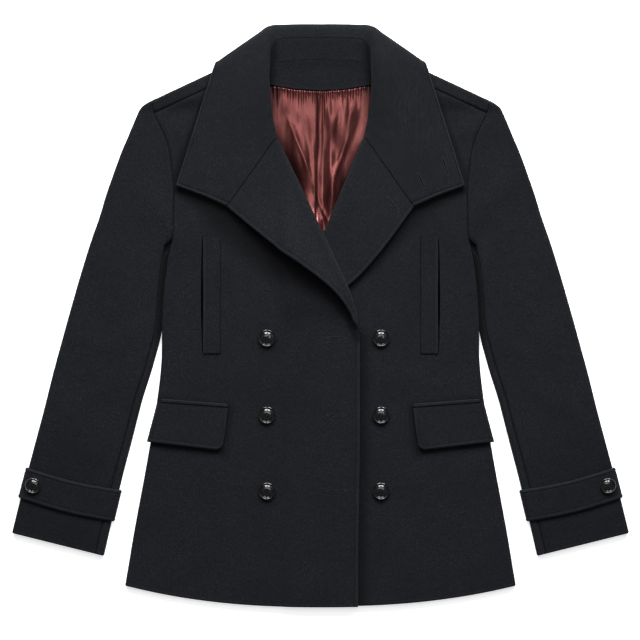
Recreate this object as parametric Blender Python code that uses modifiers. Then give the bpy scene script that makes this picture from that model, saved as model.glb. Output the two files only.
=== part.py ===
"""A double-breasted pea coat, laid flat on its back and buttoned right over left.

X runs across the coat, Y from the hem to the neck, and Z up from the surface
it lies on. Tables are in millimetres. "out" is the distance from the centre
line towards a piece's own side seam, so one table serves both sides: the
wearer's right side is at negative X, and the left side at positive X.
"""

import math

import bmesh
import bpy
import numpy as np

MM = 0.001

# Cloth
WOOL = 2.5  # one layer of melton
TURNED = 4.0  # two layers sewn and turned: flaps, welts
COLLAR = 4.0  # the collar, with its canvas
STRAP = 3.0
SATIN = 1.0
SEAM = 0.3  # space between two pieces sewn together
FOLD = 3.0  # middle radius of the side, sleeve and shoulder folds
BACK_Z = WOOL / 2  # middle of the back panel
FRONT_Z = BACK_Z + 2 * FOLD  # middle of a front panel

# Main sizes
HEM_SIDE_Y, HEM_FRONT_Y, HEM_BACK_Y = -349.4, -379.3, -375.0
HEM_HALF = 252.2
BREAK_SIDE_Y, GORGE_SIDE_Y = -25.7, 205.0  # side of the rows that meet the roll's ends
UNDERARM_Y, UNDERARM_BLEND = 101.7, 32.0
SHOULDER_SEAM = ((217.1, 262.9), (76.0, 327.3))  # armhole end, neck end
SHOULDER_FOLD = ((220.0, 279.0), (77.0, 346.1))
CHEST_Y = 190.0
BACK_ROWS = (  # y at the side seam of the back's rows, from the hem to the chest
    (-349.4, -290.0, -230.0, -170.0, -110.0, -50.0, 0.0, 40.0)
    + (70.0, 90.0, UNDERARM_Y, 120.0, 142.0, 165.0, CHEST_Y)
)
BACK_TOP_ROWS = (0.28, 0.52, 0.68, 0.84, 1.0)  # shares of the way from the chest to the top edge

# The collar's hidden fall lies under the back panel and raises all above it
LIFT = COLLAR + SEAM
LIFT_FROM_Y, LIFT_FULL_Y = 262.0, 284.0
BODY_GAP = 0.7  # from the armhole line in to the back's edge

# Side seam from the hem up, and armhole from the underarm up
SIDE = (  # out, y
    (252.2, -349.4),
    (241.2, -281.8),
    (226.2, -198.6),
    (215.2, -125.8),
    (207.3, -60.8),
    (206.7, -25.7),
    (204.8, 19.8),
    (201.5, 52.3),
    (197.0, 82.2),
    (192.4, 101.7),
    (191.4, 131.6),
    (191.1, 156.3),
    (192.4, 182.3),
    (195.7, 208.3),
    (201.5, 230.4),
    (210.0, 248.6),
    (217.1, 262.9),
    (220.0, 279.0),
)

NECKLINE = (  # out, y of the front's edge, from the gorge to the shoulder seam
    (63.6, 239.5),
    (66.0, 252.5),
    (69.0, 272.0),
    (70.8, 290.0),
    (71.2, 307.0),
    (76.0, 327.3),
)

# The front on top. Its edge is out past the centre line
OVER = {
    "side": -1,
    "edge_out": -47.5,
    "roll": (  # out, y of the roll line, from the gorge to the break
        (56.6, 231.7),
        (26.7, 169.3),
        (-3.2, 106.9),
        (-20.2, 70.5),
        (-35.8, 38.0),
        (-43.6, 21.1),
        (-47.5, -3.6),
    ),
    "lapel": (  # out, y of the lapel's outer edge
        (121.5, 140.7),
        (83.9, 109.5),
        (30.6, 67.9),
        (-22.8, 28.9),
        (-41.0, 12.0),
        (-47.5, -6.2),
    ),
    "roll_radius": ((0.0, 3.5), (1.0, 3.2)),  # along the roll, radius
    "stand_off": ((0.0, 4.6), (0.5, 5.5), (1.0, 4.0)),  # lapel edge above the front
    "facing_to": 0.82,
}

# The front underneath
UNDER = {
    "side": 1,
    "edge_out": -31.2,
    "roll": (
        (56.6, 231.7),
        (30.0, 168.0),
        (3.2, 104.3),
        (-12.0, 66.0),
        (-24.0, 36.0),
        (-31.2, 12.0),
    ),
    "lapel": (
        (121.5, 140.7),
        (76.0, 79.6),
        (35.8, 38.0),
        (-4.0, 20.0),
        (-24.0, 12.0),
        (-31.2, 4.0),
    ),
    "roll_radius": ((0.0, 3.5), (0.4, 3.0), (0.6, 2.0), (1.0, 2.0)),
    "stand_off": ((0.0, 4.6), (0.4, 3.6), (1.0, 3.0)),
    "facing_to": 0.71,
}

# How far the top front is raised where it crosses the one underneath
CROSSING = (  # y, rise at the roll or front edge
    (-400.0, 2.9),
    (-40.0, 2.9),
    (-3.6, 4.6),
    (14.0, 7.4),
    (30.0, 9.0),
    (50.0, 9.6),
    (107.0, 9.4),
    (140.0, 5.5),
    (175.0, 1.5),
    (232.0, 0.0),
)
CROSSING_FROM, CROSSING_FULL = 57.0, 36.0  # out where the rise starts and is full

# Sleeve sections from the shoulder to the hem: the outer and inner silhouettes
SLEEVE = (  # outer out, outer y, inner out, inner y
    (225.6, 276.6, 219.9, 271.5),
    (234.0, 269.5, 213.8, 256.4),
    (239.8, 258.4, 207.3, 243.4),
    (245.1, 246.0, 200.8, 226.5),
    (251.6, 230.4, 197.0, 208.3),
    (259.4, 212.2, 193.7, 188.8),
    (268.4, 187.5, 192.0, 162.8),
    (278.9, 157.6, 192.1, 131.6),
    (287.5, 129.0, 192.9, 101.7),
    (299.7, 93.9, 202.8, 64.0),
    (311.4, 56.2, 206.9, 23.7),
    (323.1, 15.9, 209.3, -19.2),
    (336.1, -30.9, 218.4, -66.9),
    (347.8, -73.8, 231.5, -109.3),
    (360.1, -123.2, 244.1, -158.5),
    (371.8, -170.0, 255.8, -205.3),
    (390.0, -240.2, 271.7, -276.6),
    (401.1, -280.5, 282.1, -311.7),
)
UNDERARM_SECTION = 8  # the section of SLEEVE at the underarm
HINDARM_IN, FOREARM_IN = 10.0, 11.5  # seams, from the silhouette, at the hem
STRAP_ENDS = ((-197.0, -227.0), (-236.5, -268.0))  # y at the outer and inner edge, top and bottom
STRAP_LOW = 64.0  # degrees round the sleeve's edge at which the strap ends, from straight down

# The collar, from the centre back round to the gorge: the middle of the cloth at
# the neck seam, the top of the stand, the crest, past the crest, and the edge
COLLAR_ROWS = (  # (out, y, z) five times
    ((0.0, 332.6, 9.0), (0.0, 370.8, 10.0), (0.0, 377.0, 6.0), (0.0, 370.8, 2.0), (0.0, 293.0, 2.1)),
    ((24.0, 332.2, 9.0), (26.7, 370.8, 10.0), (27.9, 377.0, 6.0), (30.6, 370.2, 2.0), (55.0, 293.0, 2.1)),
    ((45.0, 330.5, 9.2), (47.5, 370.2, 10.8), (51.4, 376.2, 6.8), (56.6, 368.9, 2.0), (101.0, 297.0, 2.1)),
    ((59.0, 326.6, 9.6), (59.0, 366.9, 13.0), (62.4, 375.4, 9.0), (70.9, 366.5, 2.2), (129.5, 321.0, 2.1)),
    (
        (64.4, 321.4, 10.4), (63.7, 361.7, 16.5), (68.0, 371.5, 15.5),
        (78.5, 366.0, 11.5), (133.2, 327.2, 9.0),
    ),
    (
        (67.0, 316.2, 11.0), (67.0, 353.9, 19.0), (72.2, 361.5, 21.0),
        (82.5, 358.5, 19.5), (138.0, 323.0, 15.8),
    ),
    (
        (68.2, 307.1, 11.2), (68.9, 334.4, 20.5), (74.8, 337.0, 25.0),
        (86.5, 331.8, 22.5), (145.6, 300.6, 16.0),
    ),
    (
        (68.2, 290.2, 10.4), (68.9, 308.4, 20.0), (74.1, 308.4, 24.5),
        (87.8, 298.0, 22.0), (156.7, 266.8, 14.5),
    ),
    (
        (66.3, 272.0, 9.0), (67.6, 282.4, 18.5), (72.8, 279.8, 22.5),
        (87.8, 266.8, 20.5), (168.9, 227.8, 13.2),
    ),
    (
        (63.1, 252.5, 8.4), (64.4, 256.4, 15.5), (70.2, 252.5, 19.0),
        (83.9, 238.2, 17.8), (187.8, 168.0, 13.0),
    ),
    (
        (60.6, 239.5, 8.4), (61.1, 242.1, 14.0), (66.3, 237.6, 17.5),
        (80.0, 221.3, 16.8), (152.8, 155.0, 13.4),
    ),
)
COLLAR_POINT_ROW = 9
STAND_SEAM = 0.72  # where the stand meets the fall, from 0 at the neck to 1 at its top
STAND_GAP = 0.75  # from that seam to the edge of either

# Pockets, on each front
WELT = {"out": (127.3, 154.0), "y": (-50.4, 103.0)}
FLAP = {  # corners: out, y
    "top": ((212.5, -110.5), (119.0, -116.5)),
    "bottom": ((225.5, -159.5), (133.0, -174.0)),
    "corner": 10.0,
}
JET_WIDTH, JET = 4.5, 2.0

# Buttons
BUTTON_Y = (-29.6, -129.7, -228.5)
BUTTON_OUT = {"right": 69.6, "left": 78.7}
FRONT_BUTTON, CUFF_BUTTON = 22.9, 20.3  # diameters: 36 and 32 ligne
CUFF_BUTTON_IN = 13.6  # from the strap's outer end
BUTTON_PROFILE = (  # radius and height, as shares of the radius, top to bottom
    (0.0, 0.26),
    (0.55, 0.28),
    (0.76, 0.41),
    (0.9, 0.42),
    (1.0, 0.27),
    (0.9, 0.06),
    (0.7, 0.0),
    (0.0, 0.0),
)
BUTTON_SIDES = 18
HOLE_AT, HOLE_RADIUS, HOLE_SIDES = 0.22, 0.085, 5  # shares of the radius

# The back lining, in the neck opening
LINING_TOP = ((0.0, 291.2), (34.0, 293.5), (76.0, 300.5))  # out, y
LINING_FOOT_Y, LINING_OUT = 70.0, 68.0
LINING_AHEAD = 4.0  # it starts to rise this much lower than the back does
GATHERS, GATHER_DEEP, SOFT_FOLDS, SOFT_DEEP = 13, 0.9, 5, 0.8
PLEAT_AT, PLEAT_WIDE, PLEAT_HIGH = 2.0, 5.0, 1.3
FACING_OUT = 61.0

COLOURS = {  # colour, metallic, roughness
    "melton": ((0.014, 0.016, 0.021), 0.0, 0.95),
    "collar_melton": ((0.018, 0.020, 0.025), 0.0, 0.95),
    "satin": ((0.22, 0.065, 0.06), 0.0, 0.3),
    "horn": ((0.006, 0.006, 0.007), 0.0, 0.12),
}


# ---------------------------------------------------------------- curves


def smoothstep(value):
    value = min(max(value, 0.0), 1.0)
    return value * value * (3 - 2 * value)


def column(table, at, key=0):
    """The table's other columns where its key column is at, in straight steps."""
    rows = sorted(table, key=lambda row: row[key])
    keys = [row[key] for row in rows]
    others = [[v for i, v in enumerate(row) if i != key] for row in rows]
    values = [float(np.interp(at, keys, side)) for side in zip(*others)]
    return values[0] if len(values) == 1 else values


class Curve:
    """A smooth curve through points, read by its share of the length."""

    def __init__(self, points, by_length=True):
        self.points = np.array(points, float)
        steps = np.linalg.norm(np.diff(self.points, axis=0), axis=1)
        knots = np.concatenate([[0.0], np.cumsum(steps if by_length else steps * 0 + 1)])
        self.knots, self.length = knots / knots[-1], knots[-1]
        padded = np.vstack([self.points[:1], self.points, self.points[-1:]])
        chords = padded[2:] - padded[:-2]
        self.headings = chords / np.linalg.norm(chords, axis=1, keepdims=True)

    def at(self, share):
        share = min(max(share, 0.0), 1.0)
        i = min(int(np.searchsorted(self.knots, share, side="right")) - 1, len(self.knots) - 2)
        width = self.knots[i + 1] - self.knots[i]
        t = (share - self.knots[i]) / width
        p0, p1 = self.points[i], self.points[i + 1]
        chord = np.linalg.norm(p1 - p0)
        m0, m1 = self.headings[i] * chord, self.headings[i + 1] * chord
        return (
            (2 * t**3 - 3 * t**2 + 1) * p0
            + (t**3 - 2 * t**2 + t) * m0
            + (3 * t**2 - 2 * t**3) * p1
            + (t**3 - t**2) * m1
        )


def side_out(y):
    """How far out the side seam or armhole is at height y."""
    keys = [row[1] for row in SIDE]
    i = min(max(int(np.searchsorted(keys, y)) - 1, 0), len(SIDE) - 2)
    before, after = SIDE[max(i - 1, 0)], SIDE[min(i + 2, len(SIDE) - 1)]
    (x0, y0), (x1, y1) = SIDE[i], SIDE[i + 1]
    t = min(max((y - y0) / (y1 - y0), 0.0), 1.0)
    m0 = (x1 - before[0]) / (y1 - before[1]) * (y1 - y0) if i else x1 - x0
    m1 = (after[0] - x0) / (after[1] - y0) * (y1 - y0)
    return (
        (2 * t**3 - 3 * t**2 + 1) * x0
        + (t**3 - 2 * t**2 + t) * m0
        + (3 * t**2 - 2 * t**3) * x1
        + (t**3 - t**2) * m1
    )


# ---------------------------------------------------------------- heights


def lift(y):
    """How far the collar's hidden fall raises what lies on it."""
    return LIFT * smoothstep((y - LIFT_FROM_Y) / (LIFT_FULL_Y - LIFT_FROM_Y))


def front_z(front, out, y):
    """Middle of a front panel at a place on it."""
    z = FRONT_Z + lift(y)
    if front is OVER:
        share = smoothstep((CROSSING_FROM - out) / (CROSSING_FROM - CROSSING_FULL))
        z += share * column(CROSSING, y)
    return z


# ---------------------------------------------------------------- meshes


def material(name):
    found = bpy.data.materials.get(name)
    if found:
        return found
    found = bpy.data.materials.new(name)
    found.use_nodes = True
    shader = found.node_tree.nodes["Principled BSDF"]
    colour, metallic, roughness = COLOURS[name]
    shader.inputs["Base Color"].default_value = (*colour, 1)
    shader.inputs["Metallic"].default_value = metallic
    shader.inputs["Roughness"].default_value = roughness
    return found


def add_patch(mesh, rows):
    """A grid laid through rows of points (X, Y, Z in millimetres)."""
    grid = np.array(rows, float) * MM
    down, across = grid.shape[0] - 1, grid.shape[1] - 1
    made = bmesh.ops.create_grid(mesh, x_segments=across, y_segments=down, size=0.5)
    ordered = sorted(made["verts"], key=lambda v: (round(v.co.y, 5), round(v.co.x, 5)))
    for vertex, point in zip(ordered, grid.reshape(-1, 3)):
        vertex.co = point


def sheet(name, patches, thickness, cloth, collection):
    """Cloth of a given thickness whose middle runs through one or more patches."""
    mesh = bmesh.new()
    for rows in patches:
        add_patch(mesh, rows)
    bmesh.ops.triangulate(mesh, faces=mesh.faces, quad_method="FIXED")
    bmesh.ops.remove_doubles(mesh, verts=mesh.verts, dist=0.02 * MM)
    bmesh.ops.recalc_face_normals(mesh, faces=mesh.faces)
    data = bpy.data.meshes.new(name)
    mesh.to_mesh(data)
    mesh.free()
    data.shade_smooth()
    data.materials.append(material(cloth))
    piece = bpy.data.objects.new(name, data)
    collection.objects.link(piece)
    wall = piece.modifiers.new("Wall", "SOLIDIFY")
    wall.thickness = thickness * MM
    wall.offset = 0
    wall.use_quality_normals = True
    return piece


def placed(side, rows):
    """Rows of (out, y, z) as X, Y, Z on one side of the coat."""
    return [[(side * out, y, z) for out, y, z in row] for row in rows]


def moved_out(rows, distance):
    """The same rows, moved along their normals towards the side they show."""
    grid = np.array(rows, float)
    down = np.gradient(grid, axis=0)
    across = np.gradient(grid, axis=1)
    normal = np.cross(down, across)
    normal /= np.linalg.norm(normal, axis=2, keepdims=True)
    return (grid + normal * distance).tolist()


# ---------------------------------------------------------------- back


def hem_y(out, middle):
    """The hem, straight in the middle and rising to the side seams."""
    return middle + (HEM_SIDE_Y - middle) * (min(abs(out), HEM_HALF) / HEM_HALF) ** 3


def shoulder_line():
    """Start, end and outward direction of the shoulder's fold, set in by its radius."""
    tip, neck = (np.array(end) for end in SHOULDER_FOLD)
    along = (tip - neck) / np.linalg.norm(tip - neck)
    outward = np.array([-along[1], along[0]])
    inset = outward * (FOLD + WOOL / 2)
    return tip - inset - along * BODY_GAP * 1.5, neck - inset, outward


def back_top_y(out):
    """Top edge of the back: the neck seam, then the shoulder's fold."""
    tip, neck, _ = shoulder_line()
    if out >= neck[0]:
        return neck[1] + (tip[1] - neck[1]) * (out - neck[0]) / (tip[0] - neck[0])
    return column(((0.0, 332.0), (44.0, 330.6), (60.0, 333.0), (neck[0], neck[1])), out)


def back(collection):
    tip, neck, outward = shoulder_line()
    at_neck = neck[0] / tip[0]
    shares = [at_neck * i / 3 for i in range(3)] + [at_neck + (1 - at_neck) * i / 5 for i in range(6)]
    shares = [-s for s in shares[:0:-1]] + shares
    rows = []
    for side_y in BACK_ROWS:
        level = (side_y - HEM_SIDE_Y) / (CHEST_Y - HEM_SIDE_Y)
        half = side_out(side_y) - BODY_GAP
        rows.append([])
        for share in shares:
            low = hem_y(share * HEM_HALF, HEM_BACK_Y)
            rows[-1].append((share * half, low + (CHEST_Y - low) * level))
    for level in BACK_TOP_ROWS:
        half = tip[0] if level == 1 else side_out(CHEST_Y + (tip[1] - CHEST_Y) * level) - BODY_GAP
        rows.append(
            [(s * half, CHEST_Y + (back_top_y(abs(s) * half) - CHEST_Y) * level) for s in shares]
        )
    patches = [[[(x, y, BACK_Z + lift(y)) for x, y in row] for row in rows]]
    seam_tip, seam_neck = (np.array(end) for end in SHOULDER_SEAM)
    for side in (-1, 1):
        ends = [s for s in shares if s >= at_neck - 1e-9]
        starts = [np.array([s * tip[0], back_top_y(s * tip[0])]) for s in ends]
        wrap = []
        for angle in (0, 60, 120, 180):
            turn = math.radians(angle)
            row = []
            for start in starts:
                x, y = start + outward * FOLD * math.sin(turn)
                row.append((x, y, BACK_Z + lift(start[1]) + FOLD * (1 - math.cos(turn))))
            wrap.append(row)
        row = []
        for share, start in zip(ends, starts):
            along = (share - at_neck) / (1 - at_neck)
            x, y = seam_neck + (seam_tip - seam_neck) * along + outward * SEAM
            row.append((x, y, FRONT_Z + lift(y)))
        wrap.append(row)
        patches.append(placed(side, wrap))
    return sheet("back", patches, WOOL, "melton", collection)


# ---------------------------------------------------------------- fronts

ROLL_ROWS = (  # share of the roll from the gorge to the break, y where the row meets the side
    (1.0, -25.7),
    (0.97, -14.0),
    (0.94, -4.0),
    (0.9, 12.0),
    (0.82, 40.0),
    (0.71, 65.0),
    (0.6, 85.0),
    (0.49, UNDERARM_Y),
    (0.38, 125.0),
    (0.26, 150.0),
    (0.13, 178.0),
    (0.0, GORGE_SIDE_Y),
)
ROLL_MATCH = ((0.0, 0.0), (0.5, 0.5), (0.75, 0.66), (0.9, 0.88), (1.0, 1.0))
TWIST_FROM = 0.9
CROSSING_COLUMNS = (0.0, 0.5, 0.7, 1.0)  # shares of a front's columns at the crossing's bounds
LAPEL_COLUMNS = 10
FACING_FROM = 2  # the first of those columns that the facing covers
FACING_OVER = WOOL + SEAM


class Roll:
    """One section across a lapel: where the cloth leaves the front and how it turns over."""

    def __init__(self, front, share):
        self.front, self.share = front, share
        within = min(share, TWIST_FROM)
        line, edge = Curve(front["roll"]), Curve(front["lapel"])
        self.radius = column(front["roll_radius"], share)
        across = edge.at(column(ROLL_MATCH, within)) - line.at(within)
        reach = np.linalg.norm(across)
        self.outward = across / reach
        thick = self.radius + WOOL / 2 + FACING_OVER
        self.width = math.pi * self.radius + max(reach - thick, 0.5)
        self.width *= min(1.0, (1 - share) / (1 - TWIST_FROM))
        turned = min(self.width / self.radius, math.pi / 2)
        self.start = line.at(share) + self.outward * thick * math.sin(turned)

    def point(self, run):
        """Middle of the cloth at a length past the roll's start: out, y, z."""
        arc = math.pi * self.radius
        turn = min(run, arc) / self.radius
        flat = max(run - arc, 0.0)
        out, y = self.start + self.outward * (flat - self.radius * math.sin(turn))
        height = self.radius * (1 - math.cos(turn))
        if flat:
            low = column(self.front["stand_off"], self.share)
            height += (low - height) * smoothstep(flat / (self.width - arc))
        return out, y, front_z(self.front, out, y) + height

    def run(self, step):
        """Length at a step from 0 to 1, with the turn sharing the first half."""
        arc, half = math.pi * self.radius, self.width * 0.5
        if arc > half:
            return self.width * step
        return arc * step * 2 if step < 0.5 else arc + (self.width - arc) * (step * 2 - 1)


def front_rows(front, columns):
    """The front's own rows, from the hem to the shoulder seam."""
    levels = []
    for i in range(8):
        level = i / 8
        low, high = HEM_FRONT_Y, front["roll"][-1][1]
        side_y = HEM_SIDE_Y + (BREAK_SIDE_Y - HEM_SIDE_Y) * level
        levels.append((side_y, (front["edge_out"], low + (high - low) * level), level))
    for share, side_y in ROLL_ROWS:
        levels.append((side_y, Roll(front, share).start, 1.0))
    neck = Curve(NECKLINE)
    for i in range(5):
        side_y = GORGE_SIDE_Y + (SHOULDER_SEAM[0][1] - GORGE_SIDE_Y) * (i + 1) / 5
        levels.append((side_y, neck.at(i / 4), 1.0))
    rows = []
    for side_y, edge, level in levels:
        side, edge = np.array([side_out(side_y), side_y]), np.array(edge, float)
        along = (edge - side) / np.linalg.norm(edge - side)
        wrapped = smoothstep((UNDERARM_Y - side_y) / UNDERARM_BLEND)
        low = WOOL + SEAM * 1.5
        fold = (  # in along the row and height, folded round the side, and flat
            (WOOL / 2, low, SEAM),
            (WOOL / 2, FRONT_Z - FOLD, FRONT_Z - FOLD - low),
            (WOOL / 2 + FOLD * 0.293, FRONT_Z - FOLD * 0.293, FRONT_Z - FOLD - low + FOLD * 0.785),
            (WOOL / 2 + FOLD, FRONT_Z, FRONT_Z - FOLD - low + FOLD * 1.571),
        )
        row = []
        for folded_in, folded_z, flat_in in fold:
            inward = flat_in + (folded_in - flat_in) * wrapped
            out, y = side + along * inward
            flat_z = front_z(front, out, y)
            row.append((out, y, flat_z + (folded_z - FRONT_Z) * wrapped))
        begin = side[0] + along[0] * inward
        outs = np.interp(
            np.linspace(0, 1, columns + 1)[1:],
            CROSSING_COLUMNS,
            (begin, max(CROSSING_FROM, edge[0] + 12.0), max(CROSSING_FULL, edge[0] + 6.0), edge[0]),
        )
        for out in outs:
            y = side[1] + (edge[1] - side[1]) * (side[0] - out) / (side[0] - edge[0])
            row.append((out, y, front_z(front, out, y)))
        ease = (1 - level) ** 1.5
        rows.append([])
        for out, y, z in row:
            straight = HEM_SIDE_Y + (HEM_FRONT_Y - HEM_SIDE_Y) * (side[0] - out) / (side[0] - edge[0])
            rows[-1].append((out, y + (hem_y(out, HEM_FRONT_Y) - straight) * ease, z))
    return rows


def lapel_rows(front):
    """The part of the front that turns over, section by section down the roll."""
    rolls = [Roll(front, share) for share, _ in ROLL_ROWS]
    return [[r.point(r.run(i / LAPEL_COLUMNS)) for i in range(LAPEL_COLUMNS + 1)] for r in rolls]


def front_panel(name, front, columns, collection):
    patches = [placed(front["side"], rows) for rows in (front_rows(front, columns), lapel_rows(front))]
    return sheet(name, patches, WOOL, "melton", collection)


def facing_rows(front):
    """The lapel's upper layer: the turned cloth's own points, moved out."""
    moved = moved_out(lapel_rows(front), -FACING_OVER)
    return [row[FACING_FROM:] for row, (share, _) in zip(moved, ROLL_ROWS) if share <= front["facing_to"]]


def facing(name, front, collection):
    return sheet(name, [placed(front["side"], facing_rows(front))], WOOL, "collar_melton", collection)


# ---------------------------------------------------------------- collar


def gorge_row():
    """The collar's last row, beside the lapel's first section and level with its top."""
    roll = Roll(OVER, 0.0)
    beside = np.array(OVER["roll"][0]) - np.array(OVER["roll"][1])
    beside = beside / np.linalg.norm(beside) * SEAM * 1.7
    over = WOOL / 2 + FACING_OVER - COLLAR / 2
    radius = roll.radius + over
    row = []
    for angle in (60, 90, 150):
        turn = math.radians(angle)
        out, y = roll.start - roll.outward * radius * math.sin(turn) + beside
        centre = front_z(OVER, *roll.start) + roll.radius
        row.append((out, y, centre - radius * math.cos(turn)))
    arc = math.pi * roll.radius
    for share in (0.17, 1.0):
        out, y, z = roll.point(arc + (roll.width - arc) * share)
        row.append((out + beside[0], y + beside[1], z + over))
    return row


def collar_rows(steps, columns):
    """The collar's middle surface: rows round the neck, columns from neck to edge.

    A column is a step through the row's points and a shift from it in millimetres.
    """
    half = [list(row) for row in COLLAR_ROWS] + [gorge_row()]
    mirrored = [[(-out, y, z) for out, y, z in row] for row in half[:0:-1]]
    whole = np.array(mirrored + half, float)
    count = len(half) - 1
    corners = (0, count - COLLAR_POINT_ROW, count + COLLAR_POINT_ROW, 2 * count)
    rows = []
    for begin, end in zip(corners, corners[1:]):
        stretch = whole[begin : end + 1].reshape(end - begin + 1, -1)
        smooth = Curve(stretch, by_length=False)
        for i in range((end - begin) * steps + (end == corners[-1])):
            points = smooth.at(i / ((end - begin) * steps)).reshape(-1, 3)
            across = Curve(points)
            rows.append([])
            for step, shift in columns:
                place = np.interp(step, range(len(across.knots)), across.knots) + shift / across.length
                out, y, z = across.at(place)
                rows[-1].append((out, y, max(z, COLLAR / 2 + 0.1)))
    return rows


def collar_stand(collection):
    columns = ((0.0, 0.0), (0.35, 0.0), (STAND_SEAM, -1.5), (STAND_SEAM, -STAND_GAP))
    return sheet("collar_stand", [collar_rows(2, columns)], COLLAR, "collar_melton", collection)


def collar_fall(collection):
    columns = [(STAND_SEAM, STAND_GAP), (STAND_SEAM, 1.5)]
    columns += [(step, 0.0) for step in (1.15, 1.6, 2.0, 2.5, 3.0, 3.35, 3.7, 4.0)]
    return sheet("collar_fall", [collar_rows(2, columns)], COLLAR, "collar_melton", collection)


# ---------------------------------------------------------------- neck opening


def neck_facing(collection):
    rows = []
    for i in range(3):
        level = i / 2
        row = []
        for j in range(-7, 8):
            out = FACING_OUT * j / 7
            top = column([row[0][:2] for row in COLLAR_ROWS[:6]], abs(out) + COLLAR / 2 + SEAM) - 1.0
            low = column(LINING_TOP, abs(out)) + SEAM
            y = low + (top - low) * level
            row.append((out, y, WOOL + SEAM + WOOL / 2 + lift(y)))
        rows.append(row)
    return sheet("back_neck_facing", [rows], WOOL, "melton", collection)


def lining(collection):
    rows = []
    for i in range(9):
        down = i / 8
        row = []
        for j in range(40):
            across = j / 39
            out = LINING_OUT * (2 * across - 1)
            top = column(LINING_TOP, abs(out))
            y = top + (LINING_FOOT_Y - top) * down**1.15
            gather = GATHER_DEEP * (1 + math.sin(math.tau * GATHERS * across)) / 2 * (1 - down) ** 3
            soft = SOFT_DEEP * (1 + math.cos(math.tau * SOFT_FOLDS * across + 1.1)) / 2
            soft *= math.sin(math.pi * min(down * 1.6, 1))
            near = max(0.0, 1 - abs(out - PLEAT_AT) / PLEAT_WIDE)
            z = WOOL + SEAM + SATIN / 2 + lift(y + LINING_AHEAD) + gather + soft + PLEAT_HIGH * near
            row.append((out, y, z))
        rows.append(row)
    return sheet("back_lining", [rows], SATIN, "satin", collection)


# ---------------------------------------------------------------- sleeves


def sleeve_sections():
    """Outer and inner silhouette points down the sleeve, closer set at the underarm."""
    table = Curve(SLEEVE, by_length=False)
    last = len(SLEEVE) - 1
    stops = list(range(UNDERARM_SECTION + 1)) + [UNDERARM_SECTION + 0.3, UNDERARM_SECTION + 0.6]
    stops += list(range(UNDERARM_SECTION + 1, last + 1))
    found = []
    for stop in stops:
        outer, inner = table.at(stop / last).reshape(2, 2)
        if stop <= UNDERARM_SECTION:
            inner[0] = side_out(inner[1]) + SEAM * (4 if stop < 2 else 1.5)
        found.append((outer, inner, stop / last))
    return found


def sleeve_edge(y, inner):
    """How far out the sleeve's outer or inner silhouette is at height y."""
    first = 2 if inner else 0
    return column([(row[first + 1], row[first]) for row in SLEEVE], y)


def sleeve_rows():
    """Rows of the top sleeve and the under sleeve."""
    top_rows, under_rows = [], []
    edge_in = FOLD + WOOL / 2
    for outer, inner, share in sleeve_sections():
        width = np.linalg.norm(inner - outer)
        across = (inner - outer) / width
        wrapped = smoothstep((UNDERARM_Y - inner[1]) / UNDERARM_BLEND)
        hind = edge_in + 0.1 + (HINDARM_IN - edge_in) * smoothstep((width - 12) / 40)
        fore = edge_in + (FOREARM_IN - edge_in) * share

        def spot(inward, z):
            out, y = outer + across * inward
            return out, y, z + lift(y)

        row = [spot(hind, BACK_Z)]
        for angle in (0, 60, 120, 180):
            turn = math.radians(angle)
            row.append(spot(edge_in - FOLD * math.sin(turn), BACK_Z + FOLD * (1 - math.cos(turn))))
        end = width - (fore + SEAM * 1.5) * min(1.0, wrapped * 3)
        for i in range(1, 7):
            row.append(spot(edge_in + (end - edge_in) * i / 6, FRONT_Z))
        top_rows.append(row)

        turned = math.pi * wrapped
        begin = width - WOOL / 2 * wrapped - FOLD * math.sin(min(turned, math.pi / 2))
        row = [spot(hind + SEAM + (begin - hind - SEAM) * i / 4, BACK_Z) for i in range(4)]
        for i in range(5):
            turn = turned * i / 4
            row.append(spot(begin + FOLD * math.sin(turn), BACK_Z + FOLD * (1 - math.cos(turn))))
        past = (fore - edge_in) * wrapped
        row.append(
            spot(
                begin + FOLD * math.sin(turned) + past * math.cos(turned),
                BACK_Z + FOLD * (1 - math.cos(turned)) + past * math.sin(turned),
            )
        )
        under_rows.append(row)
    return top_rows, under_rows


def sleeves(collection):
    top_rows, under_rows = sleeve_rows()
    for name, side in (("right", -1), ("left", 1)):
        sheet(f"top_sleeve_{name}", [placed(side, top_rows)], WOOL, "melton", collection)
        sheet(f"under_sleeve_{name}", [placed(side, under_rows)], WOOL, "melton", collection)
        sheet(f"sleeve_strap_{name}", [placed(side, strap_rows())], STRAP, "melton", collection)


def strap_rows():
    """A band over the sleeve, round both of its edges and down to the surface."""
    over = WOOL / 2 + SEAM + STRAP / 2
    radius, centre_z = FOLD + over, BACK_Z + FOLD
    rows = []
    for level in (0.0, 0.5, 1.0):
        outer_y, inner_y = (a + (b - a) * level for a, b in zip(*STRAP_ENDS))
        outer = np.array([sleeve_edge(outer_y, False), outer_y])
        inner = np.array([sleeve_edge(inner_y, True), inner_y])
        width = np.linalg.norm(inner - outer)
        across = (inner - outer) / width
        edge_in = FOLD + WOOL / 2
        angles = [STRAP_LOW + (180 - STRAP_LOW) * i / 4 for i in range(5)]
        row = []
        for angle in angles:
            turn = math.radians(angle)
            row.append((edge_in - radius * math.sin(turn), centre_z - radius * math.cos(turn)))
        row.append((width / 2, centre_z + radius))
        row += [(width - inward, z) for inward, z in row[4::-1]]
        rows.append([(*(outer + across * inward), z) for inward, z in row])
    return rows


# ---------------------------------------------------------------- pockets


def on_front(front, out, y, thickness):
    """Middle height of something laid on a front panel."""
    return front_z(front, out, y) + WOOL / 2 + SEAM + thickness / 2


def welt_rows(front):
    outs, heights = WELT["out"], WELT["y"]
    rows = []
    for i in range(5):
        y = heights[0] + (heights[1] - heights[0]) * i / 4
        rows.append([(out, y, on_front(front, out, y, TURNED)) for out in (outs[0], sum(outs) / 2, outs[1])])
    return rows


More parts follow.
